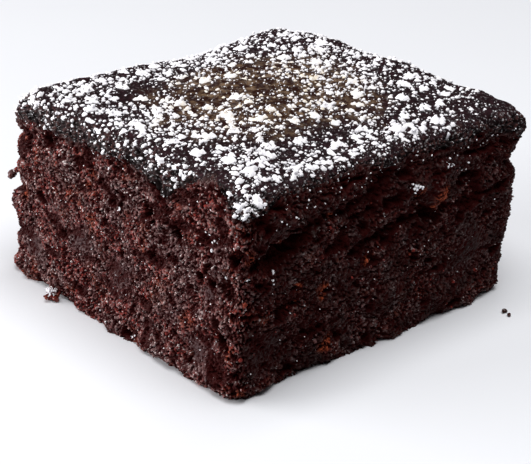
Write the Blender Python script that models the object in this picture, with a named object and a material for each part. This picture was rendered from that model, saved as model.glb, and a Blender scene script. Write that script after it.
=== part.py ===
"""A square piece of chocolate tray cake, cut on four sides and dusted with icing sugar.

The piece is one solid: a soft block with a low dome on top, a baked skin that hangs a little over
the cut sides, torn and crumbly faces below it, and the largest clumps of sugar fused to the top.
Metres, +Z up. The origin is the middle of the flat base. The -Y and +X faces meet at the front
corner.
"""

import math
import random

import bmesh
import bpy
from mathutils import Matrix, Vector

MM = 0.001

# Driving dimensions of the block
SIDE_X = 68.0 * MM
SIDE_Y = 67.5 * MM
EDGE_HEIGHT = 36.7 * MM  # top of the block just inside its rounded shoulder
DOME = 1.8 * MM  # how much higher the middle of the top is
LEAN = Vector((1.9, 1.65, 0.0)) * MM  # how far the knife's slant carries the top over the base
CORNER_RADIUS = 4.2 * MM  # of the four upright corners
TOP_CORNER_RADIUS = 2.6 * MM  # of the same corners where the shoulder meets the top
SHOULDER_RADIUS = 4.4 * MM
BASE_INSET = 0.6 * MM  # the base is smaller than the block by this, all round
BASE_ROUNDING = 2.4 * MM  # height over which that inset fades out

# The baked skin
SKIN_DROP = 3.6 * MM  # how far the skin's lower edge is below EDGE_HEIGHT
SKIN_LIP = 0.5 * MM  # how far the skin stands out over the crumb
UNDERCUT = 0.65 * MM  # how deep the crumb is torn away just under the skin
UNDERCUT_HEIGHT = 1.6 * MM
LIP_FADE = 1.3 * MM

# Mesh of the block
CELLS = 30  # along each side
SIDE_ROWS = 15  # from the base to the shoulder
SHOULDER_ROWS = 3
SMALLEST_EDGE = 0.02 * MM  # shorter ones, left by the union, are merged away

# The skin hangs lower at these places: (x, y), reach along the edge, extra drop, extra lip
DROOPS = {
    "lobe on the left face": ((13.5, -33), 3.4, 3.4, 0.6),
    "front corner": ((35, -32), 4.0, 1.6, 0.1),
    "left corner": ((-33, -33), 5.0, 2.4, 1.6),
    "right corner": ((36, 35), 6.0, 2.6, 1.7),
    "back corner": ((-33, 34), 5.0, 1.5, 0.2),
    "back face": ((4, 34), 5.0, 1.8, 0.5),
    "far face": ((-33, -8), 4.0, 2.2, 0.6),
}

# Single crags, in millimetres: middle (x, y, z), half width, half height, how far they stand out
CRAGS = {
    "lump on the front corner": ((35.6, -32.6, 25.5), 2.6, 2.6, 1.1),
    "hollow beside that lump": ((35.5, -26.0, 25.2), 3.6, 2.6, -1.7),
    "ledge under that lump": ((35.4, -31.5, 20.6), 3.4, 1.6, 0.8),
    "hollow left of the ledge": ((30.0, -33.0, 20.0), 3.0, 2.2, -1.1),
    "pit low by the front corner": ((29.0, -33.4, 10.2), 2.2, 1.6, -1.4),
    "lip over that pit": ((29.5, -33.4, 12.9), 2.6, 1.3, 0.7),
    "knob that caught sugar": ((35.6, 6.0, 28.6), 2.0, 1.6, 1.3),
    "tall lump by the knob": ((35.4, 11.2, 25.8), 2.0, 2.8, 1.4),
    "lump under the skin": ((35.6, 13.5, 30.6), 2.0, 1.4, 0.8),
    "lump by the right corner": ((35.6, 19.5, 29.0), 2.6, 1.8, 0.8),
    "lump low on the right face": ((34.2, -17.0, 7.0), 3.0, 2.6, 0.7),
    "swollen edge of the right corner": ((35.5, 34.0, 32.5), 5.5, 4.0, 1.2),
    "notch in the right corner": ((35.6, 34.0, 26.8), 5.0, 1.5, -2.5),
    "bulge in the right corner": ((35.2, 34.0, 16.0), 6.0, 6.0, 1.3),
    "foot of the right corner": ((34.0, 33.5, 0.5), 4.0, 1.5, 1.0),
    "wide foot of the right face": ((34.5, 14.0, 1.5), 15.0, 5.0, 1.0),
    "swollen edge of the left corner": ((-33.0, -32.5, 31.2), 3.6, 2.0, 0.9),
    "notch high in the left corner": ((-33.0, -32.0, 28.5), 3.4, 1.0, -1.4),
    "notch in the left corner": ((-33.0, -32.4, 17.9), 3.6, 1.8, -2.5),
    "bulge in the left corner": ((-33.2, -32.6, 14.9), 3.6, 1.9, 1.5),
    "waist of the left corner": ((-33.4, -33.0, 5.2), 4.0, 1.8, -0.5),
    "foot of the left corner": ((-33.6, -33.2, 0.8), 4.6, 1.9, 1.8),
    "sharp edge of the front corner": ((33.9, -32.9, 7.0), 1.8, 12.0, 1.6),
    "crumb stuck to the foot": ((-17.4, -34.2, 1.4), 2.1, 1.9, 2.8),
    "pit high on the left face": ((10.1, -32.6, 25.8), 1.7, 1.5, -1.2),
    "second pit beside it": ((16.1, -32.6, 24.4), 2.0, 1.6, -1.3),
    "pit by the left corner": ((-16.1, -33.1, 13.0), 2.0, 1.8, -0.8),
    "lump left of the middle": ((-5.8, -32.8, 22.0), 2.4, 2.6, 0.7),
    "smooth shallow hollow": ((1.5, -33.2, 11.5), 6.5, 4.5, -0.7),
    "high edge by the back corner": ((-15.0, 33.0, 37.0), 12.0, 8.0, 1.4),
    "high edge by the right corner": ((11.0, 33.0, 37.0), 10.0, 8.0, 1.1),
    "sunk edge over the far face": ((-33.0, 6.0, 37.0), 16.0, 8.0, -1.2),
    "hollow in the back face": ((-12.0, 34.6, 21.0), 5.0, 3.0, -1.5),
    "lump on the back face": ((12.0, 34.6, 17.0), 3.6, 2.6, 1.1),
    "hollow in the far face": ((-33.0, 10.0, 24.0), 4.6, 3.0, -1.5),
    "lump on the far face": ((-33.4, -14.0, 14.0), 3.4, 3.0, 1.1),
}

# Long tears, in millimetres: from (x, y, z), to (x, y, z), half width, depth
TEARS = (
    ((35.6, -25.0, 26.2), (35.6, -12.0, 29.8), 1.5, 1.3),
    ((35.6, -10.0, 28.4), (35.7, -1.0, 31.0), 1.4, 1.3),
    ((35.3, -15.0, 23.4), (35.4, -4.0, 26.6), 1.4, 1.1),
    ((35.2, -9.0, 19.8), (35.3, 3.0, 23.4), 1.3, 0.9),
    ((35.2, 5.0, 22.2), (35.2, 13.0, 22.8), 1.4, 1.2),
    ((-4.0, 34.8, 28.8), (10.0, 34.9, 30.0), 1.5, 1.3),
    ((14.0, 34.4, 8.0), (25.0, 34.6, 12.0), 1.5, 1.0),
    ((-33.0, -22.0, 27.0), (-33.0, -9.0, 24.0), 1.5, 1.2),
    ((-33.4, 14.0, 9.0), (-33.4, 26.0, 14.0), 1.5, 1.1),
)

# Small unevenness all over, one crag for each cell of a grid on each face
UNEVEN_SEED = 7
UNEVEN_ALONG, UNEVEN_UP = 11, 6
UNEVEN_SIZE = (2.2, 4.4)  # mm
UNEVEN_DEPTH = 0.85  # mm
TOP_UNEVEN_CELLS = 7
TOP_UNEVEN_SIZE = (4.5, 8.0)  # mm
TOP_UNEVEN_DEPTH = 0.42  # mm

# Sugar clumps
CLUMP_SEED = 21
CLUMP_COUNT = 84
CLUMP_WIDTH = (2.0 * MM, 3.6 * MM)
CLUMP_HEIGHT_SHARE = 0.36  # of its width, half of it sunk in the skin
CLUMP_SPACING = 1.25  # of the two widths' mean, so that clumps stay apart
CLUMPS_IN_MIDDLE = 0.3  # chance that a place right in the middle keeps its clump
CLUMP_SIDES, CLUMP_RINGS = 6, 4
CLUMP_JITTER = 0.16  # of the clump's half width
BARE_CORNER = (1.0, 1.0)  # the sugar missed the right corner
BARE_REACH = 0.28


def start_clean():
    for obj in list(bpy.data.objects):
        bpy.data.objects.remove(obj, do_unlink=True)


def material(name, colour, roughness):
    """A non-metal Principled BSDF; colour is linear RGB."""
    made = bpy.data.materials.new(name)
    made.use_nodes = True
    shader = made.node_tree.nodes["Principled BSDF"]
    shader.inputs["Base Color"].default_value = (*colour, 1.0)
    shader.inputs["Roughness"].default_value = roughness
    shader.inputs["Metallic"].default_value = 0.0
    return made


def smoothstep(low, high, value):
    t = min(1.0, max(0.0, (value - low) / (high - low)))
    return t * t * (3.0 - 2.0 * t)


def bell(distance, reach):
    return math.exp(-((distance / reach) ** 2))


def rounded_square(a, b, half_x, half_y, radius):
    """The plan point and outward direction for (a, b), a point on the edge of the unit square."""
    at = Vector((a * half_x, b * half_y, 0.0))
    core = Vector(
        (
            max(radius - half_x, min(half_x - radius, at.x)),
            max(radius - half_y, min(half_y - radius, at.y)),
            0.0,
        )
    )
    out = (at - core).normalized()
    return core + out * radius, out


def droop(plan):
    """How much lower, and how much further out, the skin's edge is over this plan point."""
    lower = further = 0.0
    for (x, y), reach, drop, lip in DROOPS.values():
        near = bell((plan.xy - Vector((x, y)) * MM).length, reach * MM)
        lower += near * drop * MM
        further += near * lip * MM
    return lower, further


def skin_offset(plan, height):
    """The skin's lip stands out above its lower edge, and the crumb is torn back just below it."""
    lower, further = droop(plan)
    edge = EDGE_HEIGHT - SKIN_DROP - lower
    lip = (SKIN_LIP + further) * smoothstep(edge - LIP_FADE, edge + LIP_FADE, height)
    return lip - UNDERCUT * bell(height - (edge - UNDERCUT_HEIGHT), UNDERCUT_HEIGHT)


def uneven_crags():
    """The random crags, one in each cell of a grid on each face and on the top."""
    draw = random.Random(UNEVEN_SEED)
    made = []
    half_x, half_y, height = SIDE_X / MM / 2, SIDE_Y / MM / 2, EDGE_HEIGHT / MM
    for turn in range(4):
        for i in range(UNEVEN_ALONG):
            for k in range(UNEVEN_UP):
                along = 2.0 * (i + draw.random()) / UNEVEN_ALONG - 1.0
                up = (k + draw.random()) / UNEVEN_UP * height
                size = draw.uniform(*UNEVEN_SIZE)
                out = draw.uniform(-UNEVEN_DEPTH, UNEVEN_DEPTH)
                x, y = ((along, -1.0), (1.0, along), (-along, 1.0), (-1.0, -along))[turn]
                made.append(((x * half_x, y * half_y, up), size, 0.7 * size, out))
    for i in range(TOP_UNEVEN_CELLS):
        for k in range(TOP_UNEVEN_CELLS):
            x = (2.0 * (i + draw.random()) / TOP_UNEVEN_CELLS - 1.0) * half_x
            y = (2.0 * (k + draw.random()) / TOP_UNEVEN_CELLS - 1.0) * half_y
            size = draw.uniform(*TOP_UNEVEN_SIZE)
            out = draw.uniform(-TOP_UNEVEN_DEPTH, TOP_UNEVEN_DEPTH)
            made.append(((x, y, height), size, size, out))
    return made


def crag_offset(point, crags):
    """The sum of all crags and tears at a point of the smooth block."""
    offset = 0.0
    for (x, y, z), wide, tall, out in crags:
        away = point - Vector((x, y, z)) * MM
        flat = math.hypot(away.x, away.y)
        offset += out * MM * bell(flat, wide * MM) * bell(away.z, tall * MM)
    for start, end, width, depth in TEARS:
        start, end = Vector(start) * MM, Vector(end) * MM
        along = end - start
        share = max(0.0, min(1.0, (point - start).dot(along) / along.length_squared))
        offset -= depth * MM * bell((point - start - along * share).length, width * MM)
    return offset


def smooth_block(a, b, c):
    """The smooth block's point and outward direction.

    a and b run from -1 to 1 across the block. c runs up the side from 0 at the base to 1 at the
    shoulder and to 2 at the shoulder's inner edge. Inside the unit square it is the top.
    """
    ring = max(abs(a), abs(b))
    half_x, half_y = SIDE_X / 2, SIDE_Y / 2
    flank = EDGE_HEIGHT - SHOULDER_RADIUS
    turn = max(0.0, c - 1.0) * math.pi / 2
    inset = SHOULDER_RADIUS * (1.0 - math.cos(turn))
    height = min(c, 1.0) * flank + SHOULDER_RADIUS * math.sin(turn)
    if c < 1.0:
        inset += BASE_INSET * (1.0 - smoothstep(0.0, BASE_ROUNDING, height)) ** 2
    radius = CORNER_RADIUS + (TOP_CORNER_RADIUS - CORNER_RADIUS) * math.sin(turn)
    edge_a, edge_b = (a / ring, b / ring) if ring else (1.0, 0.0)
    plan, out = rounded_square(edge_a, edge_b, half_x - inset, half_y - inset, radius)
    if ring < 1.0:
        height += DOME * (1.0 - ring * ring) ** 2
    point = plan * ring + Vector((0.0, 0.0, height)) + LEAN * (height / EDGE_HEIGHT)
    return point, out * math.cos(turn) + Vector((0.0, 0.0, math.sin(turn)))


def cake_point(a, b, c, crags):
    """The finished surface: the smooth block moved along its outward direction by the skin's lip
    and the crags. The base ring stays on the floor."""
    point, out = smooth_block(a, b, c)
    offset = crag_offset(point, crags)
    if max(abs(a), abs(b)) > 1.0 - 1e-6:
        offset += skin_offset(point, point.z) * (1.0 - out.z**2)
    moved = point + out * offset
    if c == 0.0:
        moved.z = 0.0
    return moved


def cake_block():
    """The top is a grid, its border is pulled down ring by ring for the shoulder and the sides,
    and the last ring is filled as the flat base."""
    mesh = bmesh.new()
    bmesh.ops.create_grid(mesh, x_segments=CELLS, y_segments=CELLS, size=1.0)
    for vertex in mesh.verts:
        vertex.co.z = 2.0
    border = [edge for edge in mesh.edges if edge.is_boundary]
    steps = [1.0 + (SHOULDER_ROWS - 1 - k) / SHOULDER_ROWS for k in range(SHOULDER_ROWS)]
    steps += [(SIDE_ROWS - 1 - k) / SIDE_ROWS for k in range(SIDE_ROWS)]
    for step in steps:
        pulled = bmesh.ops.extrude_edge_only(mesh, edges=border)["geom"]
        for vertex in (item for item in pulled if isinstance(item, bmesh.types.BMVert)):
            vertex.co.z = step
        border = [
            item for item in pulled if isinstance(item, bmesh.types.BMEdge) and item.is_boundary
        ]
    bmesh.ops.edgeloop_fill(mesh, edges=border)
    crags = list(CRAGS.values()) + uneven_crags()
    for vertex in mesh.verts:
        vertex.co = cake_point(*vertex.co, crags)
    bmesh.ops.recalc_face_normals(mesh, faces=mesh.faces)
    data = bpy.data.meshes.new("cake")
    mesh.to_mesh(data)
    mesh.free()
    block = bpy.data.objects.new("cake", data)
    bpy.context.scene.collection.objects.link(block)
    return block


def clump_places():
    """Where the clumps sit: drawn evenly over the top, kept apart, largest first, and fewer of
    them in the middle than near the edges. Each is (a, b, width), a and b from -1 to 1."""
    draw = random.Random(CLUMP_SEED)
    half_x, half_y = SIDE_X / 2 - SHOULDER_RADIUS, SIDE_Y / 2 - SHOULDER_RADIUS
    places = []
    widths = sorted((draw.uniform(*CLUMP_WIDTH) for _ in range(CLUMP_COUNT)), reverse=True)
    while len(places) < CLUMP_COUNT:
        width = widths[len(places)]
        a, b = draw.uniform(-1.0, 1.0), draw.uniform(-1.0, 1.0)
        keep = CLUMPS_IN_MIDDLE + (1.0 - CLUMPS_IN_MIDDLE) * max(abs(a), abs(b))
        bare = math.hypot(a - BARE_CORNER[0], b - BARE_CORNER[1]) < BARE_REACH
        apart = all(
            math.hypot((a - x) * half_x, (b - y) * half_y) > CLUMP_SPACING * (width + wide) / 2
            for x, y, wide in places
        )
        if draw.random() < keep and apart and not bare:
            places.append((a, b, width))
    return places


def sugar_clump(name, point, width, draw):
    """A squashed, slightly lumpy ball, half sunk in the skin."""
    mesh = bmesh.new()
    bmesh.ops.create_uvsphere(
        mesh, u_segments=CLUMP_SIDES, v_segments=CLUMP_RINGS, radius=width / 2
    )
    for vertex in mesh.verts:
        vertex.co *= 1.0 + draw.uniform(-CLUMP_JITTER, CLUMP_JITTER)
    long_way = draw.uniform(1.0, 1.25)
    squash = Matrix.Diagonal((long_way, 1.0 / long_way, 2 * CLUMP_HEIGHT_SHARE, 1.0))
    turn = Matrix.Rotation(draw.uniform(0.0, math.tau), 4, "Z")
    mesh.transform(Matrix.Translation(point) @ turn @ squash)
    data = bpy.data.meshes.new(name)
    mesh.to_mesh(data)
    mesh.free()
    return bpy.data.objects.new(name, data)


def fuse_sugar(block, sugar):
    """Joins every clump to the block with one union, and removes the clumps."""
    draw = random.Random(CLUMP_SEED)
    crags = list(CRAGS.values()) + uneven_crags()
    clumps = bpy.data.collections.new("sugar_clumps")
    bpy.context.scene.collection.children.link(clumps)
    for number, (a, b, width) in enumerate(clump_places()):
        point = cake_point(a, b, 2.0, crags)
        clump = sugar_clump(f"clump_{number:03d}", point, width, draw)
        clump.data.materials.append(sugar)
        clumps.objects.link(clump)
    union = block.modifiers.new("sugar", "BOOLEAN")
    union.operation = "UNION"
    union.operand_type = "COLLECTION"
    union.collection = clumps
    union.solver = "EXACT"
    bpy.context.view_layer.objects.active = block
    bpy.ops.object.modifier_apply(modifier=union.name)
    for clump in list(clumps.objects):
        bpy.data.objects.remove(clump, do_unlink=True)
    bpy.data.collections.remove(clumps)


def drop_scraps(block):
    """Merges the slivers that the union leaves, and drops any loose scrap but the cake itself."""
    mesh = bmesh.new()
    mesh.from_mesh(block.data)
    bmesh.ops.remove_doubles(mesh, verts=mesh.verts, dist=SMALLEST_EDGE)
    bmesh.ops.dissolve_degenerate(mesh, edges=mesh.edges, dist=SMALLEST_EDGE)
    bmesh.ops.triangulate(mesh, faces=mesh.faces)
    waiting = set(mesh.faces)
    islands = []
    while waiting:
        island = [waiting.pop()]
        for face in island:
            near = {other for edge in face.edges for other in edge.link_faces} & waiting
            waiting -= near
            island.extend(near)
        islands.append(island)
    islands.sort(key=len)
    for island in islands[:-1]:
        bmesh.ops.delete(mesh, geom=island, context="FACES")
    mesh.to_mesh(block.data)
    mesh.free()


def main():
    start_clean()
    sponge = material("chocolate_sponge", (0.045, 0.015, 0.012), 0.75)
    sugar = material("icing_sugar", (0.86, 0.85, 0.84), 0.9)
    block = cake_block()
    block.data.materials.append(sponge)
    fuse_sugar(block, sugar)
    drop_scraps(block)
    block.data.shade_smooth()
    block.data.set_sharp_from_angle(angle=math.radians(50.0))


main()
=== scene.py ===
"""Looks of a square piece of chocolate tray cake: torn crumb, baked skin, icing sugar and stage.

The cake's form is the solid's own, worked out again here in millimetres with finer relief on top,
and put into meshes in metres. The origin is the middle of the flat base, the -Y and +X faces meet
at the front corner, and every surface is a function of two parameters on a grid.
"""

import math
import random

import bpy
import numpy as np
from mathutils import Matrix


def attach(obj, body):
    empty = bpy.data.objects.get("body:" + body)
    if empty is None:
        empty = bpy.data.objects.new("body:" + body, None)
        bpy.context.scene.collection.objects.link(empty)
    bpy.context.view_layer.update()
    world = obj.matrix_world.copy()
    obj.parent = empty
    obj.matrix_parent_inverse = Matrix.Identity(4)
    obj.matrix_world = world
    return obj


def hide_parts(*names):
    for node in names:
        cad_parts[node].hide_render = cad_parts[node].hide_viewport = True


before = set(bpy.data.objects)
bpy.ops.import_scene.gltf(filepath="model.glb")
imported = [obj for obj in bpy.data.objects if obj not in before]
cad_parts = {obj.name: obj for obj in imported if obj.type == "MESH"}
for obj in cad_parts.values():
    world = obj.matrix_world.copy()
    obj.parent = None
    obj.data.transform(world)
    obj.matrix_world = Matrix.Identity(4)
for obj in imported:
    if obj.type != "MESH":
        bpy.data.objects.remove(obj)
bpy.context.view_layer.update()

bl_info = {
    "name": "Dusted chocolate cake square",
    "version": (1, 0, 0),
    "blender": (4, 5, 0),
    "location": "View3D > Sidebar > Cake",
    "description": "Crumb, baked skin, icing sugar and studio for a square piece of tray cake",
    "category": "Object",
}

MM = 0.001
SPONGE = "moist_chocolate_sponge"

# Form of the block, in millimetres, as the solid has it
SIDE_X, SIDE_Y = 68.0, 67.5
EDGE_HEIGHT = 36.7
DOME = 1.8
LEAN = np.array([1.9, 1.65, 0.0])
CORNER_RADIUS = 4.2
TOP_CORNER_RADIUS = 2.6
SHOULDER_RADIUS = 4.4
BASE_INSET = 0.6
BASE_ROUNDING = 2.4
SKIN_DROP = 3.6
SKIN_LIP = 0.5
UNDERCUT = 0.65
UNDERCUT_HEIGHT = 1.6
FLANK = EDGE_HEIGHT - SHOULDER_RADIUS
SHOULDER_ARC = SHOULDER_RADIUS * math.pi / 2
HALF_TOP = SIDE_X / 2 - SHOULDER_RADIUS
MIDDLE = np.array([0.0, 0.0, EDGE_HEIGHT / 2])

# The skin hangs lower at these places: (x, y), reach along the edge, extra drop, extra lip
DROOPS = {
    "lobe on the left face": ((13.5, -33), 3.4, 3.4, 0.6),
    "front corner": ((35, -32), 4.0, 1.6, 0.1),
    "left corner": ((-33, -33), 5.0, 2.4, 1.6),
    "right corner": ((36, 35), 6.0, 2.6, 1.7),
    "back corner": ((-33, 34), 5.0, 1.5, 0.2),
    "back face": ((4, 34), 5.0, 1.8, 0.5),
    "far face": ((-33, -8), 4.0, 2.2, 0.6),
}

# Single crags: middle (x, y, z), half width, half height, how far they stand out
CRAGS = {
    "lump on the front corner": ((35.6, -32.6, 25.5), 2.6, 2.6, 1.1),
    "hollow beside that lump": ((35.5, -26.0, 25.2), 3.6, 2.6, -1.7),
    "ledge under that lump": ((35.4, -31.5, 20.6), 3.4, 1.6, 0.8),
    "hollow left of the ledge": ((30.0, -33.0, 20.0), 3.0, 2.2, -1.1),
    "pit low by the front corner": ((29.0, -33.4, 10.2), 2.2, 1.6, -1.4),
    "lip over that pit": ((29.5, -33.4, 12.9), 2.6, 1.3, 0.7),
    "knob that caught sugar": ((35.6, 6.0, 28.6), 2.0, 1.6, 1.3),
    "tall lump by the knob": ((35.4, 11.2, 25.8), 2.0, 2.8, 1.4),
    "lump under the skin": ((35.6, 13.5, 30.6), 2.0, 1.4, 0.8),
    "lump by the right corner": ((35.6, 19.5, 29.0), 2.6, 1.8, 0.8),
    "lump low on the right face": ((34.2, -17.0, 7.0), 3.0, 2.6, 0.7),
    "swollen edge of the right corner": ((35.5, 34.0, 32.5), 5.5, 4.0, 1.2),
    "notch in the right corner": ((35.6, 34.0, 26.8), 5.0, 1.5, -2.5),
    "bulge in the right corner": ((35.2, 34.0, 16.0), 6.0, 6.0, 1.3),
    "foot of the right corner": ((34.0, 33.5, 0.5), 4.0, 1.5, 1.0),
    "wide foot of the right face": ((34.5, 14.0, 1.5), 15.0, 5.0, 1.0),
    "swollen edge of the left corner": ((-33.0, -32.5, 31.2), 3.6, 2.0, 0.9),
    "notch high in the left corner": ((-33.0, -32.0, 28.5), 3.4, 1.0, -1.4),
    "notch in the left corner": ((-33.0, -32.4, 17.9), 3.6, 1.8, -2.5),
    "bulge in the left corner": ((-33.2, -32.6, 14.9), 3.6, 1.9, 1.5),
    "waist of the left corner": ((-33.4, -33.0, 5.2), 4.0, 1.8, -0.5),
    "foot of the left corner": ((-33.6, -33.2, 0.8), 4.6, 1.9, 1.8),
    "sharp edge of the front corner": ((33.9, -32.9, 7.0), 1.8, 12.0, 1.6),
    "crumb stuck to the foot": ((-17.4, -34.2, 1.4), 2.1, 1.9, 2.8),
    "pit high on the left face": ((10.1, -32.6, 25.8), 1.7, 1.5, -1.2),
    "second pit beside it": ((16.1, -32.6, 24.4), 2.0, 1.6, -1.3),
    "pit by the left corner": ((-16.1, -33.1, 13.0), 2.0, 1.8, -0.8),
    "lump left of the middle": ((-5.8, -32.8, 22.0), 2.4, 2.6, 0.7),
    "smooth shallow hollow": ((1.5, -33.2, 11.5), 6.5, 4.5, -0.7),
    "high edge by the back corner": ((-15.0, 33.0, 37.0), 12.0, 8.0, 1.4),
    "high edge by the right corner": ((11.0, 33.0, 37.0), 10.0, 8.0, 1.1),
    "sunk edge over the far face": ((-33.0, 6.0, 37.0), 16.0, 8.0, -1.2),
    "hollow in the back face": ((-12.0, 34.6, 21.0), 5.0, 3.0, -1.5),
    "lump on the back face": ((12.0, 34.6, 17.0), 3.6, 2.6, 1.1),
    "hollow in the far face": ((-33.0, 10.0, 24.0), 4.6, 3.0, -1.5),
    "lump on the far face": ((-33.4, -14.0, 14.0), 3.4, 3.0, 1.1),
}

# Long tears: from (x, y, z), to (x, y, z), half width, depth
TEARS = (
    ((35.6, -25.0, 26.2), (35.6, -12.0, 29.8), 1.5, 1.3),
    ((35.6, -10.0, 28.4), (35.7, -1.0, 31.0), 1.4, 1.3),
    ((35.3, -15.0, 23.4), (35.4, -4.0, 26.6), 1.4, 1.1),
    ((35.2, -9.0, 19.8), (35.3, 3.0, 23.4), 1.3, 0.9),
    ((35.2, 5.0, 22.2), (35.2, 13.0, 22.8), 1.4, 1.2),
    ((-4.0, 34.8, 28.8), (10.0, 34.9, 30.0), 1.5, 1.3),
    ((14.0, 34.4, 8.0), (25.0, 34.6, 12.0), 1.5, 1.0),
    ((-33.0, -22.0, 27.0), (-33.0, -9.0, 24.0), 1.5, 1.2),
    ((-33.4, 14.0, 9.0), (-33.4, 26.0, 14.0), 1.5, 1.1),
)

# The skin's colour ends higher than the solid's edge at these places: (x, y), reach, rise
RISES = (
    ((-20.0, -33.0), 12.0, -0.8), ((-2.0, -33.0), 7.0, -0.2), ((24.5, -33.0), 5.0, 3.0),
    ((35.0, -24.0), 8.0, 2.0), ((35.0, -9.0), 8.0, 2.4), ((35.0, 6.0), 7.0, 1.7), ((35.0, 24.0), 6.0, 1.3),
)

# Torn sponge: noise shifts crags and grains this far, which makes their outlines ragged
CRAG_SHIFT, GRAIN_SHIFT = 0.9, 0.25
# Crags deeper than this are deepened by a further share, as the sponge tore there
TORN_FROM, TORN_SHARE = -0.6, 0.8
# Widths of the broad and the small lumps, which stand out this many times more at the foot
BROAD_LUMPS, SMALL_LUMPS = 4.6, 2.1
FOOT_SWELL, FOOT_REACH = 1.8, 4.0
CLOD_HEIGHT, CLOD_CREVICE = 0.2, 0.12
# Grains whose own number is below the second are missing, fading out at the first
MISSING_GRAINS = (0.36, 0.26)
# Half width of a bubble, as shares of their spacing: the least and what is added to it; a
# bubble is this many times deeper than round
BUBBLE_SIZE, BUBBLE_DEPTH = (0.04, 0.34), 1.2
# Pressed sponge has this share less relief
PRESSED_CALM = 0.8
# Ragged caves: width, width of their detail, how flat, and how deep. They have this share of
# their depth elsewhere, and all of it on the +X face, from the first x to the second
CAVE_WIDTH, CAVE_DETAIL, CAVE_FLATNESS, CAVE_DEPTH = 3.6, 1.7, 1.6, 1.5
CAVES_ELSEWHERE = 0.4
CAVE_FACE = (32.0, 35.0)
# A cave, or a named pit, begins at the first value of its pattern and is full at the second
CAVE_NOISE, PIT_EDGES = (0.34, 0.85), (0.25, 0.7)

# Baked skin: distance between pinholes, its film of sugar and what is added at the edges,
# distances from the middle between which it turns dry, heights over its lower edge where sponge
# turns into skin, and how far its surface faces up there. It is tucked in and down by this much
# behind the cut faces
PINHOLES = 1.3
FILM, EDGE_FILM = 0.13, 0.22
MOIST_EDGES = (13.0, 24.0)
SKIN_BAND = (-0.6, 2.6)
SKIN_SLOPE = (0.6, 0.95)
SKIN_TUCK_IN, SKIN_TUCK_DOWN = 0.15, 0.1
# Sponge painted darker: heights over the skin's edge where browning and painted shade under the skin's
# lip darken it, and on the +X face, which faces away from the lights and is painted darker as shade,
# the part below it where that painted shade grows to full
BROWNED_AND_SHADED_BAND = (-1.6, 0.6)
SHADED_BAND = (-9.0, -2.0)
# How far the underside's unevenness rises on average
UNDERSIDE_RISE = 0.16

# Small unevenness, the same draws as the solid's
UNEVEN_SEED = 7
UNEVEN_ALONG, UNEVEN_UP = 11, 6
UNEVEN_SIZE = (2.2, 4.4)
UNEVEN_DEPTH = 0.85
TOP_UNEVEN_CELLS = 7
TOP_UNEVEN_SIZE = (4.5, 8.0)
TOP_UNEVEN_DEPTH = 0.42

# Places where the sponge is pressed smooth and looks greyer: middle (x, y, z) and reach
PRESSED = (
    ((0.9, -33.4, 11.3), 4.6), ((-9.7, -33.4, 14.2), 3.6), ((24.0, -33.4, 6.0), 3.4),
    ((-24.4, -33.4, 8.0), 3.0), ((26.5, -33.0, 17.5), 2.4), ((35.0, 22.0, 12.0), 5.0),
    ((10.0, 34.5, 12.0), 5.0), ((-33.5, 16.0, 18.0), 5.0),
)

# Orange-brown lumps, where less cocoa was stirred in, and on the +X face also painted brighter as a
# glow in the shade: middle (x, y, z) and reach
RUSTY = (
    ((34.8, -15.4, 15.1), 1.1), ((34.3, -13.9, 4.6), 1.5), ((34.9, -21.3, 17.6), 0.9),
    ((35.3, 12.0, 25.4), 1.7), ((35.3, 10.8, 22.8), 1.2), ((35.5, 6.4, 27.2), 1.0),
    ((35.5, -14.0, 29.1), 0.9), ((34.9, -4.4, 17.8), 0.8), ((21.9, -33.2, 10.9), 1.6),
    ((-6.0, -32.8, 19.8), 1.3), ((-27.1, -32.4, 28.1), 1.6), ((-28.5, -32.9, 17.8), 2.0),
    ((35.4, -32.5, 26.0), 1.7), ((31.0, -33.0, 8.6), 1.4), ((33.6, -33.4, 2.0), 1.4),
    ((-14.0, 34.6, 14.0), 1.6), ((20.0, 34.6, 26.0), 1.3), ((-33.6, 5.0, 9.0), 1.6),
    ((-33.0, -20.0, 20.0), 1.4),
)

# Dark holes in the cut faces: middle (x, y, z) and reach
PITS = (
    ((9.2, -32.6, 25.5), 0.8), ((10.7, -32.6, 24.6), 0.7), ((17.6, -32.6, 24.8), 1.3),
    ((15.8, -32.6, 25.5), 0.8), ((2.2, -32.6, 25.0), 0.9), ((0.5, -32.5, 26.8), 0.8),
    ((11.3, -32.9, 18.7), 0.8), ((2.3, -33.0, 16.0), 0.9), ((-2.1, -33.0, 15.2), 0.7),
    ((-15.4, -33.1, 13.4), 1.0), ((-3.6, -32.7, 22.3), 0.7), ((-1.5, -32.8, 20.9), 0.9),
    ((-20.0, -32.6, 30.2), 1.2), ((29.4, -33.3, 10.1), 1.2), ((30.8, -33.3, 9.4), 0.8),
    ((32.3, -32.6, 25.4), 1.3), ((26.9, -32.9, 18.9), 0.9), ((24.0, -33.0, 20.0), 0.8),
    ((35.7, -1.2, 33.2), 1.9), ((35.6, -4.0, 32.4), 1.3), ((35.5, -9.0, 29.9), 1.5),
    ((35.4, 1.7, 27.7), 1.6), ((35.4, -0.8, 27.2), 1.2), ((35.2, 7.1, 24.1), 1.6), ((35.1, 9.6, 22.6), 1.4),
    ((35.1, 11.9, 21.3), 1.4), ((35.2, 18.5, 22.3), 1.4), ((35.2, 17.6, 26.0), 1.0),
    ((35.0, 18.2, 19.3), 1.3), ((35.1, -2.2, 21.9), 1.4), ((35.2, -6.1, 24.2), 1.2),
    ((35.2, -12.0, 23.0), 1.3), ((35.2, -14.0, 22.4), 1.2), ((34.9, -3.7, 17.4), 1.1),
    ((34.8, 6.3, 15.2), 1.1), ((35.4, -21.9, 26.3), 1.6), ((35.4, -19.6, 27.0), 1.3),
    ((35.3, -30.1, 24.6), 1.3), ((35.6, -27.8, 30.6), 1.1), ((-8.0, 34.6, 24.0), 1.5),
    ((16.0, 34.6, 14.0), 1.3), ((-33.2, 2.0, 18.0), 1.4), ((-33.2, 20.0, 24.0), 1.2),
)

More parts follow.
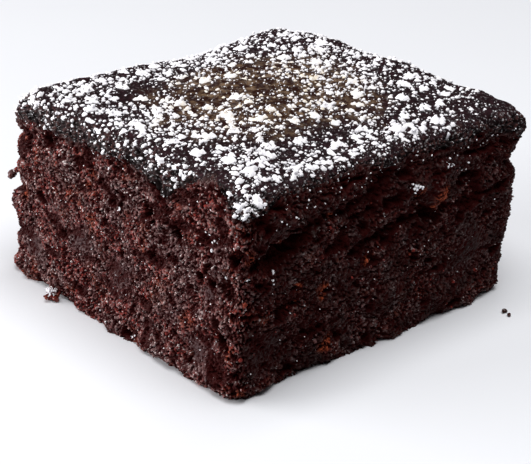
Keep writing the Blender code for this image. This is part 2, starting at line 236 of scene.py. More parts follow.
# No crumb's or speck's middle is lower than its half width times this, to stay off the floor
LOWEST_CRUMB, LOWEST_SPECK = 1.4, 1.7
# Random crumbs on the cut faces: least half width and what is added to it
STUCK_SIZE = (0.16, 0.34)
# A named crumb points away from the middle: its own place times this
AWAY = (0.03, 0.03, 0.0)
# Crumbs past this x lie loose on the floor, where they have dried and browned
LOOSE_FROM = 38.0
# Named crumbs on the cut faces, and two loose ones: middle (x, y, z), reach, how many, half width
STUCK = (
    ((-32.1, -32.6, 19.8), 0.5, 7, 0.55), ((-31.5, -31.9, 20.6), 0.3, 5, 0.4),
    ((-31.0, -31.2, 20.9), 0.3, 5, 0.45), ((-16.9, -35.6, 0.8), 0.9, 24, 0.42),
    ((-15.9, -34.7, 1.0), 0.8, 14, 0.45), ((41.2, 25.2, 0.3), 0.25, 5, 0.28),
    ((42.7, 25.1, 0.3), 0.15, 3, 0.24),
)

# Specks of sugar and fat that glint on the cut faces: middle (x, y, z), reach and how many
GLINTS = (
    ((25.5, -33.0, 27.4), 0.5, 3), ((27.3, -33.0, 26.8), 0.5, 5), ((27.1, -33.0, 25.3), 0.4, 4),
    ((30.3, -33.2, 21.6), 0.4, 4), ((35.8, -33.2, 22.4), 0.6, 8), ((36.0, -27.0, 22.3), 0.4, 4),
    ((36.0, -27.4, 21.0), 0.3, 3), ((35.6, -1.9, 19.3), 0.4, 3), ((36.4, -23.2, 31.3), 0.4, 4),
    ((36.6, 5.2, 28.9), 0.9, 34), ((36.2, 14.1, 30.7), 0.8, 8), ((36.2, 18.8, 28.8), 1.0, 6),
    ((2.2, -33.2, 24.1), 0.8, 6), ((5.4, -33.7, 0.9), 0.8, 6), ((-6.0, 35.0, 27.0), 1.0, 8),
)

# Sugar on the crumb at the foot of the left face: middle (x, y, z), reach and how many
SUGARED = (((-16.5, -35.5, 2.0), 1.0, 44),)

# Largest sugar clumps, the same draws as the solid's
CLUMP_SEED = 21
CLUMP_COUNT = 84
CLUMP_WIDTH = (2.0, 3.6)
CLUMP_SPACING = 1.25
CLUMPS_IN_MIDDLE = 0.3
BARE_CORNER = (1.0, 1.0)
BARE_REACH = 0.28

# Share of the skin under sugar: in the middle, more at the edges, and how patchy it is
COVER, EDGE_COVER, PATCHY_COVER = 0.26, 0.10, 0.12
BARE_SPOT, BARE_SPOT_EDGES = (33.0, 32.0), (5.0, 10.5)
# How far sugar goes down the shoulder, and places where it goes further: (x, y), reach, further
SUGAR_DROP = 5.0
SUGAR_RUNS = (((33.0, -34.0), 3.8, 7.0), ((13.0, -33.0), 4.0, 1.6), ((-34.0, -34.0), 5.0, 3.0))
# How far the block's lean carries the top that the heaps lie on
TOP_SHIFT = (1.9, 1.6)
# Half width of a dot for its spacing: the least, and what is added to it by its rank
DOT_SIZE = (0.2, 0.28)
# A clump is dots round its middle. As shares of its width: how far out they stand, the first
# one's half width and how much wider each next one is, and their height
CLUMP_DOTS, CLUMP_DOTS_OUT, CLUMP_DOT_SIZE, CLUMP_HEIGHT = 4, 0.22, (0.14, 0.02), 0.17
# Height of the sugar's fine noise, and how far a patch goes into the skin
SUGAR_ROUGHNESS = 0.045
SUGAR_SUNK = 0.25
# How many half widths of the top each kind of sugar may reach from its middle
PATCHES_TO, GRAINS_TO, DUST_TO = 1.24, 1.27, 1.26
# Specks on the cut faces beside the named ones, and the half widths of specks
STRAY_SPECKS = 420
SPECK_SIZE = (0.07, 0.2)
# Loose grains: chance of one for each share of cover, cover added for strays and the most that
# counts, then the least half width and what is added to it
GRAIN_CHANCE, GRAIN_STRAYS, GRAIN_MOST = 0.72, 0.08, 0.55
GRAIN_SIZE = (0.13, 0.32)
# Dust: cover added for strays, least half width and what is added to it
DUST_STRAYS, DUST_SIZE = 0.12, (0.07, 0.12)

# Sugar lies thicker or thinner here, over the top seen flat: (x, y), reach, change of cover
HEAPS = (
    ((-31.0, -32.0), 4.5, 0.16), ((-24.0, -29.0), 5.0, 0.14), ((-26.0, -12.0), 9.0, -0.06),
    ((-26.0, 26.0), 9.0, -0.06), ((-17.0, -25.0), 4.0, 0.14), ((-2.4, -26.0), 4.5, 0.16),
    ((8.0, -31.0), 3.0, 0.16), ((16.3, -30.9), 1.8, 0.30), ((10.2, -15.6), 3.4, 0.22),
    ((16.5, -21.8), 2.6, 0.20), ((28.0, -26.0), 3.4, 0.34), ((33.0, -33.5), 3.6, 0.40),
    ((35.5, -36.5), 3.0, 0.40), ((35.2, -31.6), 2.4, 0.50), ((23.5, -19.0), 3.0, 0.16),
    ((30.3, -20.0), 3.0, 0.20), ((32.0, -12.6), 2.4, 0.22), ((27.5, -8.0), 3.0, 0.24),
    ((29.3, 0.3), 2.6, 0.30), ((29.7, 7.0), 2.8, 0.16), ((31.6, 10.0), 3.0, 0.30),
    ((-3.0, 19.0), 5.0, 0.12), ((14.3, 3.2), 2.4, 0.28), ((0.5, 10.8), 3.0, 0.20), ((2.5, -5.5), 1.6, 0.18),
    ((-14.6, -15.9), 4.0, -0.30), ((-3.5, -10.5), 3.6, -0.30), ((-2.0, -3.2), 4.5, -0.22),
    ((1.5, 1.5), 4.0, -0.24), ((-19.5, 15.0), 3.0, -0.24), ((-13.0, 9.0), 5.0, -0.20),
    ((15.1, -27.5), 2.6, -0.36), ((20.0, -27.0), 2.0, -0.20), ((8.6, -2.9), 3.5, -0.20),
    ((15.8, 7.4), 4.5, -0.20), ((22.0, -4.0), 3.5, -0.20), ((24.0, 22.0), 6.0, -0.10),
)

# Floor: half width, cells, and a gap below the cake so that the two don't flicker
FLOOR_HALF, FLOOR_CELLS, FLOOR_GAP = 2500.0, 8, 0.02

# Soft lights: the point that they face, and each one's place and (width, height)
LIGHT_AIM = (0, 0, 20)
WINDOW_PLACE, WINDOW_SIZE = (-430, -500, 135), (560, 220)
CEILING_PLACE, CEILING_SIZE = (130, -20, 900), (760, 760)

# Camera, from the eye's place and its three directions; the lens is for a 36 mm sensor
EYE = (190.18, -167.33, 126.53)
EYE_RIGHT = (0.6631, 0.7484, 0.0111)
EYE_UP = (-0.3208, 0.2708, 0.9076)
EYE_BACK = (0.6763, -0.6054, 0.4197)
LENS = 99.45


def linear(hex_colour):
    """sRGB hex to linear RGBA: c / 12.92 below 0.04045, else ((c + 0.055) / 1.055) to the 2.4."""
    parts = [int(hex_colour[k : k + 2], 16) / 255 for k in (1, 3, 5)]
    return tuple(c / 12.92 if c < 0.04045 else ((c + 0.055) / 1.055) ** 2.4 for c in parts) + (1.0,)


def colour(name, hex_colour, description):
    """A colour that a user can change, by its sRGB hex value."""
    limits = {"subtype": "COLOR", "size": 4, "min": 0.0, "max": 1.0}
    return bpy.props.FloatVectorProperty(
        name=name, description=description, default=linear(hex_colour), **limits
    )


def length(name, millimetres, description):
    """A length that a user can change, given in millimetres and kept in metres."""
    limits = {"subtype": "DISTANCE", "unit": "LENGTH", "min": 0.0, "precision": 5}
    return bpy.props.FloatProperty(
        name=name, description=description, default=millimetres * MM, **limits
    )


class CrumbSettings(bpy.types.PropertyGroup):
    """Sponge that shows on the four cut sides and underneath."""

    row_pitch: length("Row pitch", 0.165, "Distance between the rows of the cut faces' grid")
    lump_height: length("Lump height", 0.37, "How far the broad lumps stand out")
    grain_size: length("Grain size", 0.36, "Width of one crumb grain")
    grain_height: length("Grain height", 0.22, "How far a grain stands out")
    clod_size: length("Clod size", 1.1, "Width of one clod of grains")
    bubble_size: length("Bubble spacing", 2.7, "Distance between the larger bubbles")
    # Deep crumb is partly the sponge's own dark red and partly painted shade: the material lays it over
    # pores, gaps and hollows by the mesh's depth number
    deep: colour("Deep crumb", "#280202", "Sponge at the bottom of its pores")
    body: colour("Crumb", "#85302a", "Sponge between the pores")
    grey: colour("Dry crumb", "#6b4d4d", "Greyer, drier parts of the sponge")
    # Crumb tips: lighter colour on the grains that stand out most, partly drier crumb and partly a painted
    # highlight
    tips_and_highlights: colour("Crumb tips", "#b29794", "Dry tips of the grains")
    # Glints are painted highlights: pale specks of noise laid into the colour, partly standing for fat and
    # sugar
    glints: colour("Glints", "#e2d4d2", "Single grains that shine")
    pressed: colour("Pressed crumb", "#483a3b", "Greyer sponge where it is pressed smooth")
    spots: colour("Red-brown spots", "#88391f", "Fat, less cocoa-dark lumps of sponge")
    # Amber spots are a painted glow: a brighter copy of the orange lumps, laid on them mostly on the +X
    # face, which faces away from the lights
    painted_amber_glow: colour("Amber spots", "#ac5438", "The same lumps where little light reaches them")
    # Browned crumb: partly browning next to the skin, partly painted shade under the skin's lip and over
    # the +X face, which faces away from the lights
    browning_and_shade: colour("Browned crumb", "#1a1615", "Sponge next to the baked skin")


class SkinSettings(bpy.types.PropertyGroup):
    """Baked skin over the top and the shoulder."""

    cells: bpy.props.IntProperty(
        name="Cells", description="Cells of the skin's grid along each side", default=220, min=20
    )
    ripple: length("Ripple", 0.16, "Height of the skin's ripples")
    dry: colour("Dry skin", "#130508", "Dark dry skin near the edges")
    dry_light: colour("Worn skin", "#2b151b", "Lighter ridges of the dry skin")
    moist: colour("Moist skin", "#261009", "Brown skin in the middle, where sugar has melted")
    moist_light: colour("Glazed skin", "#78614b", "Golden ridges with melted sugar")
    crumb: colour("Crumb in the skin", "#6e4640", "Grains that show near the skin's torn edge")
    # Pores in the skin are painted shade, laid over its holes near the torn edge by the depth number
    pore_shade: colour("Pores in the skin", "#0e0303", "Holes near the skin's torn edge")
    film: colour("Sugar film", "#d8d6d8", "Sugar too fine to be a grain of its own")


class SugarSettings(bpy.types.PropertyGroup):
    """Icing sugar, sieved on top."""

    pitch: length("Sheet pitch", 0.24, "Cell of the grid that the patches of sugar are made on")
    dot_size: length("Dot spacing", 1.95, "Distance between the larger dots of a patch")
    steepness: bpy.props.FloatProperty(
        name="Steepness", description="Height of a dot for its half width", default=0.85, min=0.0
    )
    grain_pitch: length("Grain pitch", 0.8, "Distance between possible places of a loose grain")
    dust: bpy.props.IntProperty(
        name="Dust", description="How many specks of fine dust", default=6200, min=0
    )
    white: colour("Sugar", "#f1eff3", "Icing sugar")
    melted: colour("Melting sugar", "#ddd0b8", "Sugar that starts to melt on the moist middle")


class StageSettings(bpy.types.PropertyGroup):
    """Floor and light."""

    floor: colour("Floor", "#e0e1e5", "Plain pale floor")
    sky: colour("Surroundings", "#c9ccd2", "Colour of the room's light")
    sky_strength: bpy.props.FloatProperty(
        name="Room light", description="Strength of the room's light", default=0.10, min=0.0
    )
    key: bpy.props.FloatProperty(
        name="Window light", description="Power of the large light on the left", default=6.6
    )
    top: bpy.props.FloatProperty(
        name="Top light", description="Power of the light overhead", default=10.6
    )


# ---------------------------------------------------------------- numbers


def smoothstep(low, high, value):
    """0 below low, 1 above high, and 3t^2 - 2t^3 between."""
    t = np.clip((value - low) / (high - low), 0.0, 1.0)
    return t * t * (3.0 - 2.0 * t)


def bell(distance, reach):
    """1 at no distance and falling to 1 / e at this reach: e to the -(distance / reach)^2."""
    return np.exp(-((distance / reach) ** 2))


def hashed(cell, seed):
    """A repeatable number from 0 to 1 for each whole-number cell: its coordinates times three
    large primes are mixed by shifts and one more product."""
    x, y, z = (cell[..., k].astype(np.int64).astype(np.uint32) for k in range(3))
    mixed = x * np.uint32(73856093) ^ y * np.uint32(19349663) ^ z * np.uint32(83492791)
    mixed = mixed ^ np.uint32((seed * 2654435761) & 0xFFFFFFFF)
    mixed = (mixed ^ (mixed >> np.uint32(15))) * np.uint32(2246822519)
    mixed = (mixed ^ (mixed >> np.uint32(13))) * np.uint32(3266489917)
    return ((mixed ^ (mixed >> np.uint32(16))) >> np.uint32(8)).astype(np.float32) / 16777216.0


def value_noise(points, size, seed):
    """Smooth noise from -1 to 1: random values at the corners of cells this large, blended by
    the smoothstep of the place inside the cell."""
    scaled = (points / size).astype(np.float32)
    low = np.floor(scaled)
    t = scaled - low
    t = t * t * (3.0 - 2.0 * t)
    total = np.zeros(points.shape[:-1], np.float32)
    for corner in np.ndindex(2, 2, 2):
        share = np.prod(np.where(corner, t, 1.0 - t), axis=-1)
        total += share * hashed(low + np.array(corner, np.float32), seed)
    return 2.0 * total - 1.0


def noise_arrows(points, size, seed, parts=3):
    """A small step in so many directions, with value_noise of its own for each."""
    return np.stack([value_noise(points, size, seed + k) for k in range(parts)], -1)


def nearest_cell(points, size, seed, axes=3):
    """Distance to the nearest and to the second nearest of one random point in each cell, in the
    points' unit, and that nearest cell's own random number. Two axes give cells in plan alone."""
    scaled = (points / size).astype(np.float32)
    low = np.floor(scaled)
    first = np.full(points.shape[:-1], 9.0, np.float32)
    second = first.copy()
    number = np.zeros_like(first)
    for step in np.ndindex(*(3,) * axes):
        cell = low.copy()
        cell[..., :axes] += np.array(step, np.float32) - 1.0
        away = sum(
            (cell[..., k] + hashed(cell, seed + 11 * k) - scaled[..., k]) ** 2 for k in range(axes)
        )
        closer = away < first
        second = np.where(closer, first, np.minimum(second, away))
        number = np.where(closer, hashed(cell, seed + 47), number)
        first = np.where(closer, away, first)
    return np.sqrt(first) * size, np.sqrt(second) * size, number


# ---------------------------------------------------------------- form of the cake


def near_in_plan(x, y, middle, reach):
    """Bell of the distance from a middle, seen from above."""
    return bell(np.hypot(x - middle[0], y - middle[1]), reach)


def rounded_square(a, b, half_x, half_y, radius):
    """Plan point and outward direction for (a, b) on the edge of the unit square: the nearest
    point of the inner rectangle, plus the radius along the line from there to (a, b)."""
    half = np.stack(np.broadcast_arrays(half_x, half_y), -1)
    radius = np.asarray(radius)[..., None]
    at = np.stack(np.broadcast_arrays(a, b), -1) * half
    core = np.clip(at, radius - half, half - radius)
    out = at - core
    out = out / np.maximum(np.linalg.norm(out, axis=-1, keepdims=True), 1e-9)
    return core + out * radius, out


def height_up(c):
    """Height above the base for smooth_block's c on the side or the shoulder."""
    turn = np.clip(c - 1.0, 0.0, 1.0) * math.pi / 2
    return np.minimum(c, 1.0) * FLANK + SHOULDER_RADIUS * np.sin(turn)


def smooth_block(a, b, c):
    """Point and outward direction of the smooth block. a and b run from -1 to 1 across it. c
    runs up the side, 0 at the base, 1 where the quarter-round shoulder starts, and 2 at its
    inner edge. Inside the unit square the top rises as a low dome, DOME (1 - ring^2)^2."""
    ring = np.maximum(np.abs(a), np.abs(b))
    turn = np.clip(c - 1.0, 0.0, 1.0) * math.pi / 2
    inset = SHOULDER_RADIUS * (1.0 - np.cos(turn))
    height = height_up(c)
    foot = BASE_INSET * (1.0 - smoothstep(0.0, BASE_ROUNDING, height)) ** 2
    inset = inset + np.where(c < 1.0, foot, 0.0)
    radius = CORNER_RADIUS + (TOP_CORNER_RADIUS - CORNER_RADIUS) * np.sin(turn)
    edge = np.maximum(ring, 1e-9)
    plan, out = rounded_square(a / edge, b / edge, SIDE_X / 2 - inset, SIDE_Y / 2 - inset, radius)
    height = height + np.where(ring < 1.0, DOME * (1.0 - ring * ring) ** 2, 0.0)
    point = np.concatenate([plan * ring[..., None], height[..., None]], -1)
    point = point + LEAN * (height / EDGE_HEIGHT)[..., None]
    normal = np.concatenate([out * np.cos(turn)[..., None], np.sin(turn)[..., None]], -1)
    return point, normal


def up_the_side(height):
    """smooth_block's c for a height on the side or the shoulder."""
    rise = np.clip((height - FLANK) / SHOULDER_RADIUS, 0.0, 1.0)
    return np.minimum(height / FLANK, 1.0) + np.arcsin(rise) / (math.pi / 2)


def from_top(s, t):
    """(a, b, c) for a place on the sheet of skin: inside the unit square it lies on the top, and
    past that it has gone the same distance down the shoulder and the side."""
    reach = np.maximum(np.maximum(np.abs(s), np.abs(t)), 1.0)
    down = (reach - 1.0) * HALF_TOP
    round_part = np.minimum(down, SHOULDER_ARC) / SHOULDER_ARC
    straight_part = np.maximum(down - SHOULDER_ARC, 0.0) / FLANK
    return s / reach, t / reach, 2.0 - round_part - straight_part


def droop(point):
    """How much lower, and how much further out, the skin's edge is over this plan point."""
    lower = further = 0.0
    for middle, reach, drop, lip in DROOPS.values():
        near = near_in_plan(point[..., 0], point[..., 1], middle, reach)
        lower = lower + near * drop
        further = further + near * lip
    return lower, further


def skin_edge(point):
    """Height of the skin's ragged lower edge over this plan point, and the lip's width there."""
    lower, further = droop(point)
    flat = point * np.array([1.0, 1.0, 0.0])
    ragged = 0.6 * value_noise(flat, 3.1, 301) + 0.4 * value_noise(flat, 1.1, 302)
    for middle, reach, rise in RISES:
        ragged = ragged + rise * near_in_plan(point[..., 0], point[..., 1], middle, reach)
    return EDGE_HEIGHT - SKIN_DROP - lower + ragged, 0.4 * SKIN_LIP + 0.9 * further


def uneven_crags():
    """The solid's random crags, one in each cell of a grid on each face and on the top."""
    draw = random.Random(UNEVEN_SEED)
    made = []
    half_x, half_y = SIDE_X / 2, SIDE_Y / 2
    for turn in range(4):
        for i in range(UNEVEN_ALONG):
            for k in range(UNEVEN_UP):
                along = 2.0 * (i + draw.random()) / UNEVEN_ALONG - 1.0
                up = (k + draw.random()) / UNEVEN_UP * EDGE_HEIGHT
                size = draw.uniform(*UNEVEN_SIZE)
                out = draw.uniform(-UNEVEN_DEPTH, UNEVEN_DEPTH)
                x, y = ((along, -1.0), (1.0, along), (-along, 1.0), (-1.0, -along))[turn]
                made.append(((x * half_x, y * half_y, up), size, 0.7 * size, out))
    for i in range(TOP_UNEVEN_CELLS):
        for k in range(TOP_UNEVEN_CELLS):
            x = (2.0 * (i + draw.random()) / TOP_UNEVEN_CELLS - 1.0) * half_x
            y = (2.0 * (k + draw.random()) / TOP_UNEVEN_CELLS - 1.0) * half_y
            size = draw.uniform(*TOP_UNEVEN_SIZE)
            out = draw.uniform(-TOP_UNEVEN_DEPTH, TOP_UNEVEN_DEPTH)
            made.append(((x, y, EDGE_HEIGHT), size, size, out))
    return made


ALL_CRAGS = list(CRAGS.values()) + uneven_crags()


def crag_offset(point):
    """Sum of all crags, each a bell in plan times a bell in height, less the tears, each a bell
    of the distance to a line."""
    point = point.astype(np.float32)
    offset = np.zeros(point.shape[:-1], np.float32)
    for (x, y, z), wide, tall, out in ALL_CRAGS:
        spread = ((point[..., 0] - x) ** 2 + (point[..., 1] - y) ** 2) / wide**2
        offset += out * np.exp(-spread - ((point[..., 2] - z) / tall) ** 2)
    for start, end, width, depth in TEARS:
        start, along = np.array(start), np.array(end) - np.array(start)
        share = np.clip((point - start) @ along / (along @ along), 0.0, 1.0)
        away = np.linalg.norm(point - start - share[..., None] * along, axis=-1)
        offset -= depth * bell(away, width)
    return offset


def moist(point):
    """0 to 1: how moist the top is, a round area in its middle with an edge that noise moves."""
    away = np.hypot(point[..., 0] - LEAN[0], 0.9 * (point[..., 1] - LEAN[1]))
    patchy = value_noise(point, 6.0, 901) * 5.0 + value_noise(point, 2.2, 902) * 2.0
    return 1.0 - smoothstep(*MOIST_EDGES, away + patchy)


def near_any(point, places):
    """0 to 1: how near a point is to one of these places, each (middle, reach)."""
    found = np.zeros(point.shape[:-1])
    for middle, reach in places:
        found = np.maximum(found, bell(np.linalg.norm(point - np.array(middle), axis=-1), reach))
    return found


def pressed(point):
    """0 to 1: how smooth and grey the sponge is, near the named places and in a few more."""
    few = 0.6 * smoothstep(0.35, 0.75, value_noise(point, 9.0, 211))
    return np.maximum(few, near_any(point, PRESSED))


# ---------------------------------------------------------------- relief


def crumb_relief(point, look):
    """Outward offset of torn sponge, how deep it is and each grain's own tone, both 0 to 1.

    Broad lumps of noise, plus clods and grains round random points. Each clod and each grain has
    a height of its own, a grain is a dome, and crevices run where the nearest two points are
    equally far. About three grains in ten are missing, which leaves ragged pores, and a few
    larger bubbles are round. Ragged caves, wider than tall, follow noise and are deepest on the
    +X face."""
    lump, size, tall = look.lump_height / MM, look.grain_size / MM, look.grain_height / MM
    clod, bubble = look.clod_size / MM, look.bubble_size / MM
    ragged = noise_arrows(point, 0.8, 401)
    moved = point + GRAIN_SHIFT * ragged
    foot = 1.0 + FOOT_SWELL * bell(point[..., 2], FOOT_REACH)
    small = 0.6 * lump * value_noise(point, SMALL_LUMPS, 412)
    broad = foot * (lump * value_noise(point, BROAD_LUMPS, 411) + small)
    calm = 1.0 - PRESSED_CALM * pressed(point)
    first, second, number = nearest_cell(moved, clod, 415)
    crevice = 1.0 - smoothstep(0.0, 0.25, (second - first) / clod)
    clods = CLOD_HEIGHT * (number - 0.5) - CLOD_CREVICE * crevice
    first, second, tone = nearest_cell(moved, size, 421)
    gap = 1.0 - smoothstep(0.0, 0.3, (second - first) / size)
    grain = tall * (tone - 1.6 * (first / size) ** 2 - 0.7 * gap)
    missing = smoothstep(*MISSING_GRAINS, tone) * (0.3 + 0.6 * number)
    near, _, wide = nearest_cell(moved, bubble, 431)
    radius = bubble * (BUBBLE_SIZE[0] + BUBBLE_SIZE[1] * wide**6)
    round_hole = BUBBLE_DEPTH * np.sqrt(np.maximum(radius**2 - near**2, 0.0))
    flat = point * np.array([1.0, 1.0, CAVE_FLATNESS])
    cave = value_noise(flat, CAVE_WIDTH, 441) + 0.55 * value_noise(flat, CAVE_DETAIL, 442)
    wanted = CAVES_ELSEWHERE + (1.0 - CAVES_ELSEWHERE) * smoothstep(*CAVE_FACE, point[..., 0])
    cave = wanted * calm * smoothstep(*CAVE_NOISE, cave)
    cave = np.maximum(cave, smoothstep(*PIT_EDGES, near_any(point + 0.7 * ragged, PITS)))
    hollow = missing * calm + round_hole + CAVE_DEPTH * cave
    offset = broad + (clods + grain) * (0.25 + 0.75 * calm) - hollow
    # depth, 0 to 1, is the mask of painted shade: the material darkens missing grains, bubbles, caves and
    # the gaps between grains by it
    depth = np.clip((hollow + 0.8 * tall * gap - 0.8 * clods * calm + 0.08) / 0.5 + cave, 0.0, 1.0)
    return offset, depth, tone


def skin_relief(point, look):
    """Outward offset of the baked skin: three sizes of ripple, less shallow pinholes."""
    ripple = look.ripple / MM
    offset = 0.0
    for share, width, seed in ((1.6, 5.5, 601), (1.0, 2.1, 602), (0.5, 0.9, 603)):
        offset = offset + share * ripple * value_noise(point, width, seed)
    near, _, wide = nearest_cell(point, PINHOLES, 611)
    radius = 0.12 + 0.3 * wide**2
    return offset - 0.7 * np.sqrt(np.maximum(radius**2 - near**2, 0.0))


def cake_surface(a, b, c, crumb, skin):
    """The cake's outer side with all its relief: torn sponge below the skin's edge, baked skin
    above it, and a band between where one turns into the other. Crags are read at a place shifted
    by noise on sponge, so that they are ragged. Returns points, outward directions and the
    numbers that the materials read."""
    point, out = smooth_block(a, b, c)
    height = height_up(c)
    edge, lip = skin_edge(point)
    ragged = height + 0.5 * value_noise(point, 0.9, 511)
    skinned = 0.25 * smoothstep(edge + SKIN_BAND[0], edge + SKIN_BAND[1], ragged)
    sloping = out[..., 2] + 0.2 * value_noise(point, 1.3, 512)
    skinned = skinned + 0.75 * smoothstep(*SKIN_SLOPE, sloping)
    shift = CRAG_SHIFT * noise_arrows(point, 1.7, 501)
    relief, depth, tone = crumb_relief(point, crumb)
    crag = crag_offset(point + shift)
    torn = crag + np.minimum(crag - TORN_FROM, 0.0) * TORN_SHARE + relief
    # Crag hollows raise depth too, so that shade is painted in them
    depth = np.clip(depth + 0.8 * smoothstep(0.5, 1.8, -crag), 0.0, 1.0)
    shade = 0.35 + 0.65 * smoothstep(0.2, 0.8, out[..., 0])
    torn = torn - shade * UNDERCUT * bell(height - (edge - UNDERCUT_HEIGHT), UNDERCUT_HEIGHT)
    upright = 1.0 - out[..., 2] ** 2
    baked = crag_offset(point) * (1.0 - 0.5 * upright) + skin_relief(point, skin) + lip * upright
    offset = torn * (1.0 - skinned) + baked * skinned
    moved = point + out * offset[..., None]
    moved[..., 2] = np.where(height <= 0.0, 0.0, np.maximum(moved[..., 2], 0.02))
    # right is the +X face, which faces away from the lights. The sponge is painted darker next to the skin,
    # partly as browning and partly as shade under its lip, and over the +X face as shade, most near the top
    right = smoothstep(0.3, 0.9, out[..., 0])
    browning_and_shade = height - edge + 0.8 * value_noise(point, 2.0, 521)
    shaded = 0.86 + 0.3 * smoothstep(*SHADED_BAND, browning_and_shade) + 0.5 * value_noise(point, 2.8, 523)
    browning_and_shade = np.maximum(smoothstep(*BROWNED_AND_SHADED_BAND, browning_and_shade), np.clip(shaded, 0.0, 1.0) * right)
    numbers = {"depth": depth * (1.0 - skinned), "tone": tone, "browning_and_shade": browning_and_shade}
    numbers["crumbly"] = 1.0 - skinned
    # The orange lumps' number is doubled on the +X face, where it lays on the brighter colour as a painted
    # glow in the shade
    numbers["rusty_and_glow"] = near_any(point + shift, RUSTY) * (1.0 + right)
    numbers["pressed"] = pressed(point)
    return moved, out, numbers


def skin_surface(s, t, crumb, skin):
    """cake_surface for a place on the sheet of skin."""
    return cake_surface(*from_top(s, t), crumb, skin)


# ---------------------------------------------------------------- meshes


def put_mesh(name, points, faces, material, flat_from=None):
    """A new object from points in millimetres and faces, a list of whole-number arrays of three
    or four corners each. Faces from number flat_from on are shaded flat."""
    mesh = bpy.data.meshes.new(name)
    mesh.vertices.add(len(points))
    mesh.vertices.foreach_set("co", (points * MM).astype(np.float32).ravel())
    corners = np.concatenate([part.ravel() for part in faces]).astype(np.int32)
    sizes = np.concatenate([np.full(len(part), part.shape[1], np.int32) for part in faces])
    mesh.loops.add(len(corners))
    mesh.loops.foreach_set("vertex_index", corners)
    mesh.polygons.add(len(sizes))
    mesh.polygons.foreach_set("loop_start", np.concatenate([[0], np.cumsum(sizes)[:-1]]))
    soft = np.full(len(sizes), True)
    if flat_from is not None:
        soft[flat_from:] = False
    mesh.polygons.foreach_set("use_smooth", soft)
    mesh.update(calc_edges=True)
    mesh.validate()
    mesh.materials.append(material)
    piece = bpy.data.objects.new(name, mesh)
    bpy.context.scene.collection.objects.link(piece)
    return piece


def put_numbers(piece, name, values):
    """One number for each vertex, for the material to read."""
    attribute = piece.data.attributes.new(name, "FLOAT", "POINT")
    attribute.data.foreach_set("value", np.ascontiguousarray(values, np.float32).ravel())


def grid_faces(rows, columns):
    """Squares of a grid whose points are numbered along its rows."""
    at = np.arange(rows * columns).reshape(rows, columns)
    return np.stack([at[:-1, :-1], at[:-1, 1:], at[1:, 1:], at[1:, :-1]], -1).reshape(-1, 4)


def square_grid(cells):
    """a and b of a grid with so many cells along each side of the unit square."""
    line = np.linspace(-1.0, 1.0, cells + 1)
    b, a = np.meshgrid(line, line, indexing="ij")
    return a, b


def sheet_grid(pitch, reach):
    """s and t of a grid of this pitch on the sheet of skin, out to so many half widths of the top."""
    half = round(reach * HALF_TOP / pitch)
    line = np.arange(-half, half + 1) * pitch / HALF_TOP
    t, s = np.meshgrid(line, line, indexing="ij")
    return s, t


def border_of(rows, columns):
    """Numbers of a grid's border points, in the order that closes it from behind."""
    at = np.arange(rows * columns).reshape(rows, columns)
    return np.concatenate([at[0, :-1], at[:-1, -1], at[-1, :0:-1], at[:0:-1, 0]])


def fan(ring, tip):
    """Triangles from each step of a closed ring to one tip."""
    following = np.roll(ring, -1)
    return np.stack([following, ring, np.full(len(ring), tip)], -1)


def closed_sheet(name, grid, numbers, material):
    """A grid of points, with its numbers for the material, closed by a fan from its border to the
    cake's middle, so that the pieces together fill the cake."""
    rows, columns = grid.shape[:2]
    points = np.concatenate([grid.reshape(-1, 3), MIDDLE[None]])
    quads = grid_faces(rows, columns)
    back = fan(border_of(rows, columns), rows * columns)
    piece = put_mesh(name, points, [quads, back], material, flat_from=len(quads))
    for kind, values in numbers.items():
        put_numbers(piece, kind, np.append(values.ravel(), 0.0))
    return piece


def thick_sheet(name, top, bottom, squares, material):
    """Closes chosen squares of a grid: on the top grid, turned over on the bottom grid, and a
    wall along each edge that only one chosen square has."""
    count = top[..., 0].size
    ends = np.stack([squares, np.roll(squares, -1, axis=1)], -1).reshape(-1, 2)
    key = np.sort(ends, axis=1)
    _, index, times = np.unique(key[:, 0] * count + key[:, 1], return_inverse=True, return_counts=True)
    rim = ends[times[index.reshape(-1)] == 1]
    walls = np.stack([rim[:, 1], rim[:, 0], rim[:, 0] + count, rim[:, 1] + count], -1)
    faces = np.concatenate([squares, squares[:, ::-1] + count, walls])
    used, faces = np.unique(faces, return_inverse=True)
    points = np.concatenate([top.reshape(-1, 3), bottom.reshape(-1, 3)])[used]
    return put_mesh(name, points, [faces.reshape(-1, 4)], material)


def ball(sides, rings):
    """Unit ball on two angles, with one point at each pole: (points, faces with outward order)."""
    across = np.arange(1, rings) / rings * math.pi
    along = np.arange(sides) / sides * math.tau
    polar, angle = np.meshgrid(across, along, indexing="ij")
    body = np.stack([np.sin(polar) * np.cos(angle), np.sin(polar) * np.sin(angle), np.cos(polar)], -1)
    points = np.concatenate([[[0, 0, 1.0]], body.reshape(-1, 3), [[0, 0, -1.0]]])
    ring = np.arange(sides) + 1
    after = np.roll(ring, -1)
    faces = [np.stack([np.zeros_like(ring), ring, after], -1)]
    for k in range(rings - 2):
        low = k * sides
        faces.append(np.stack([ring + low, ring + low + sides, after + low + sides], -1))
        faces.append(np.stack([ring + low, after + low + sides, after + low], -1))
    low = (rings - 2) * sides
    faces.append(np.stack([ring + low, np.full_like(ring, len(points) - 1), after + low], -1))
    return points, np.concatenate(faces)


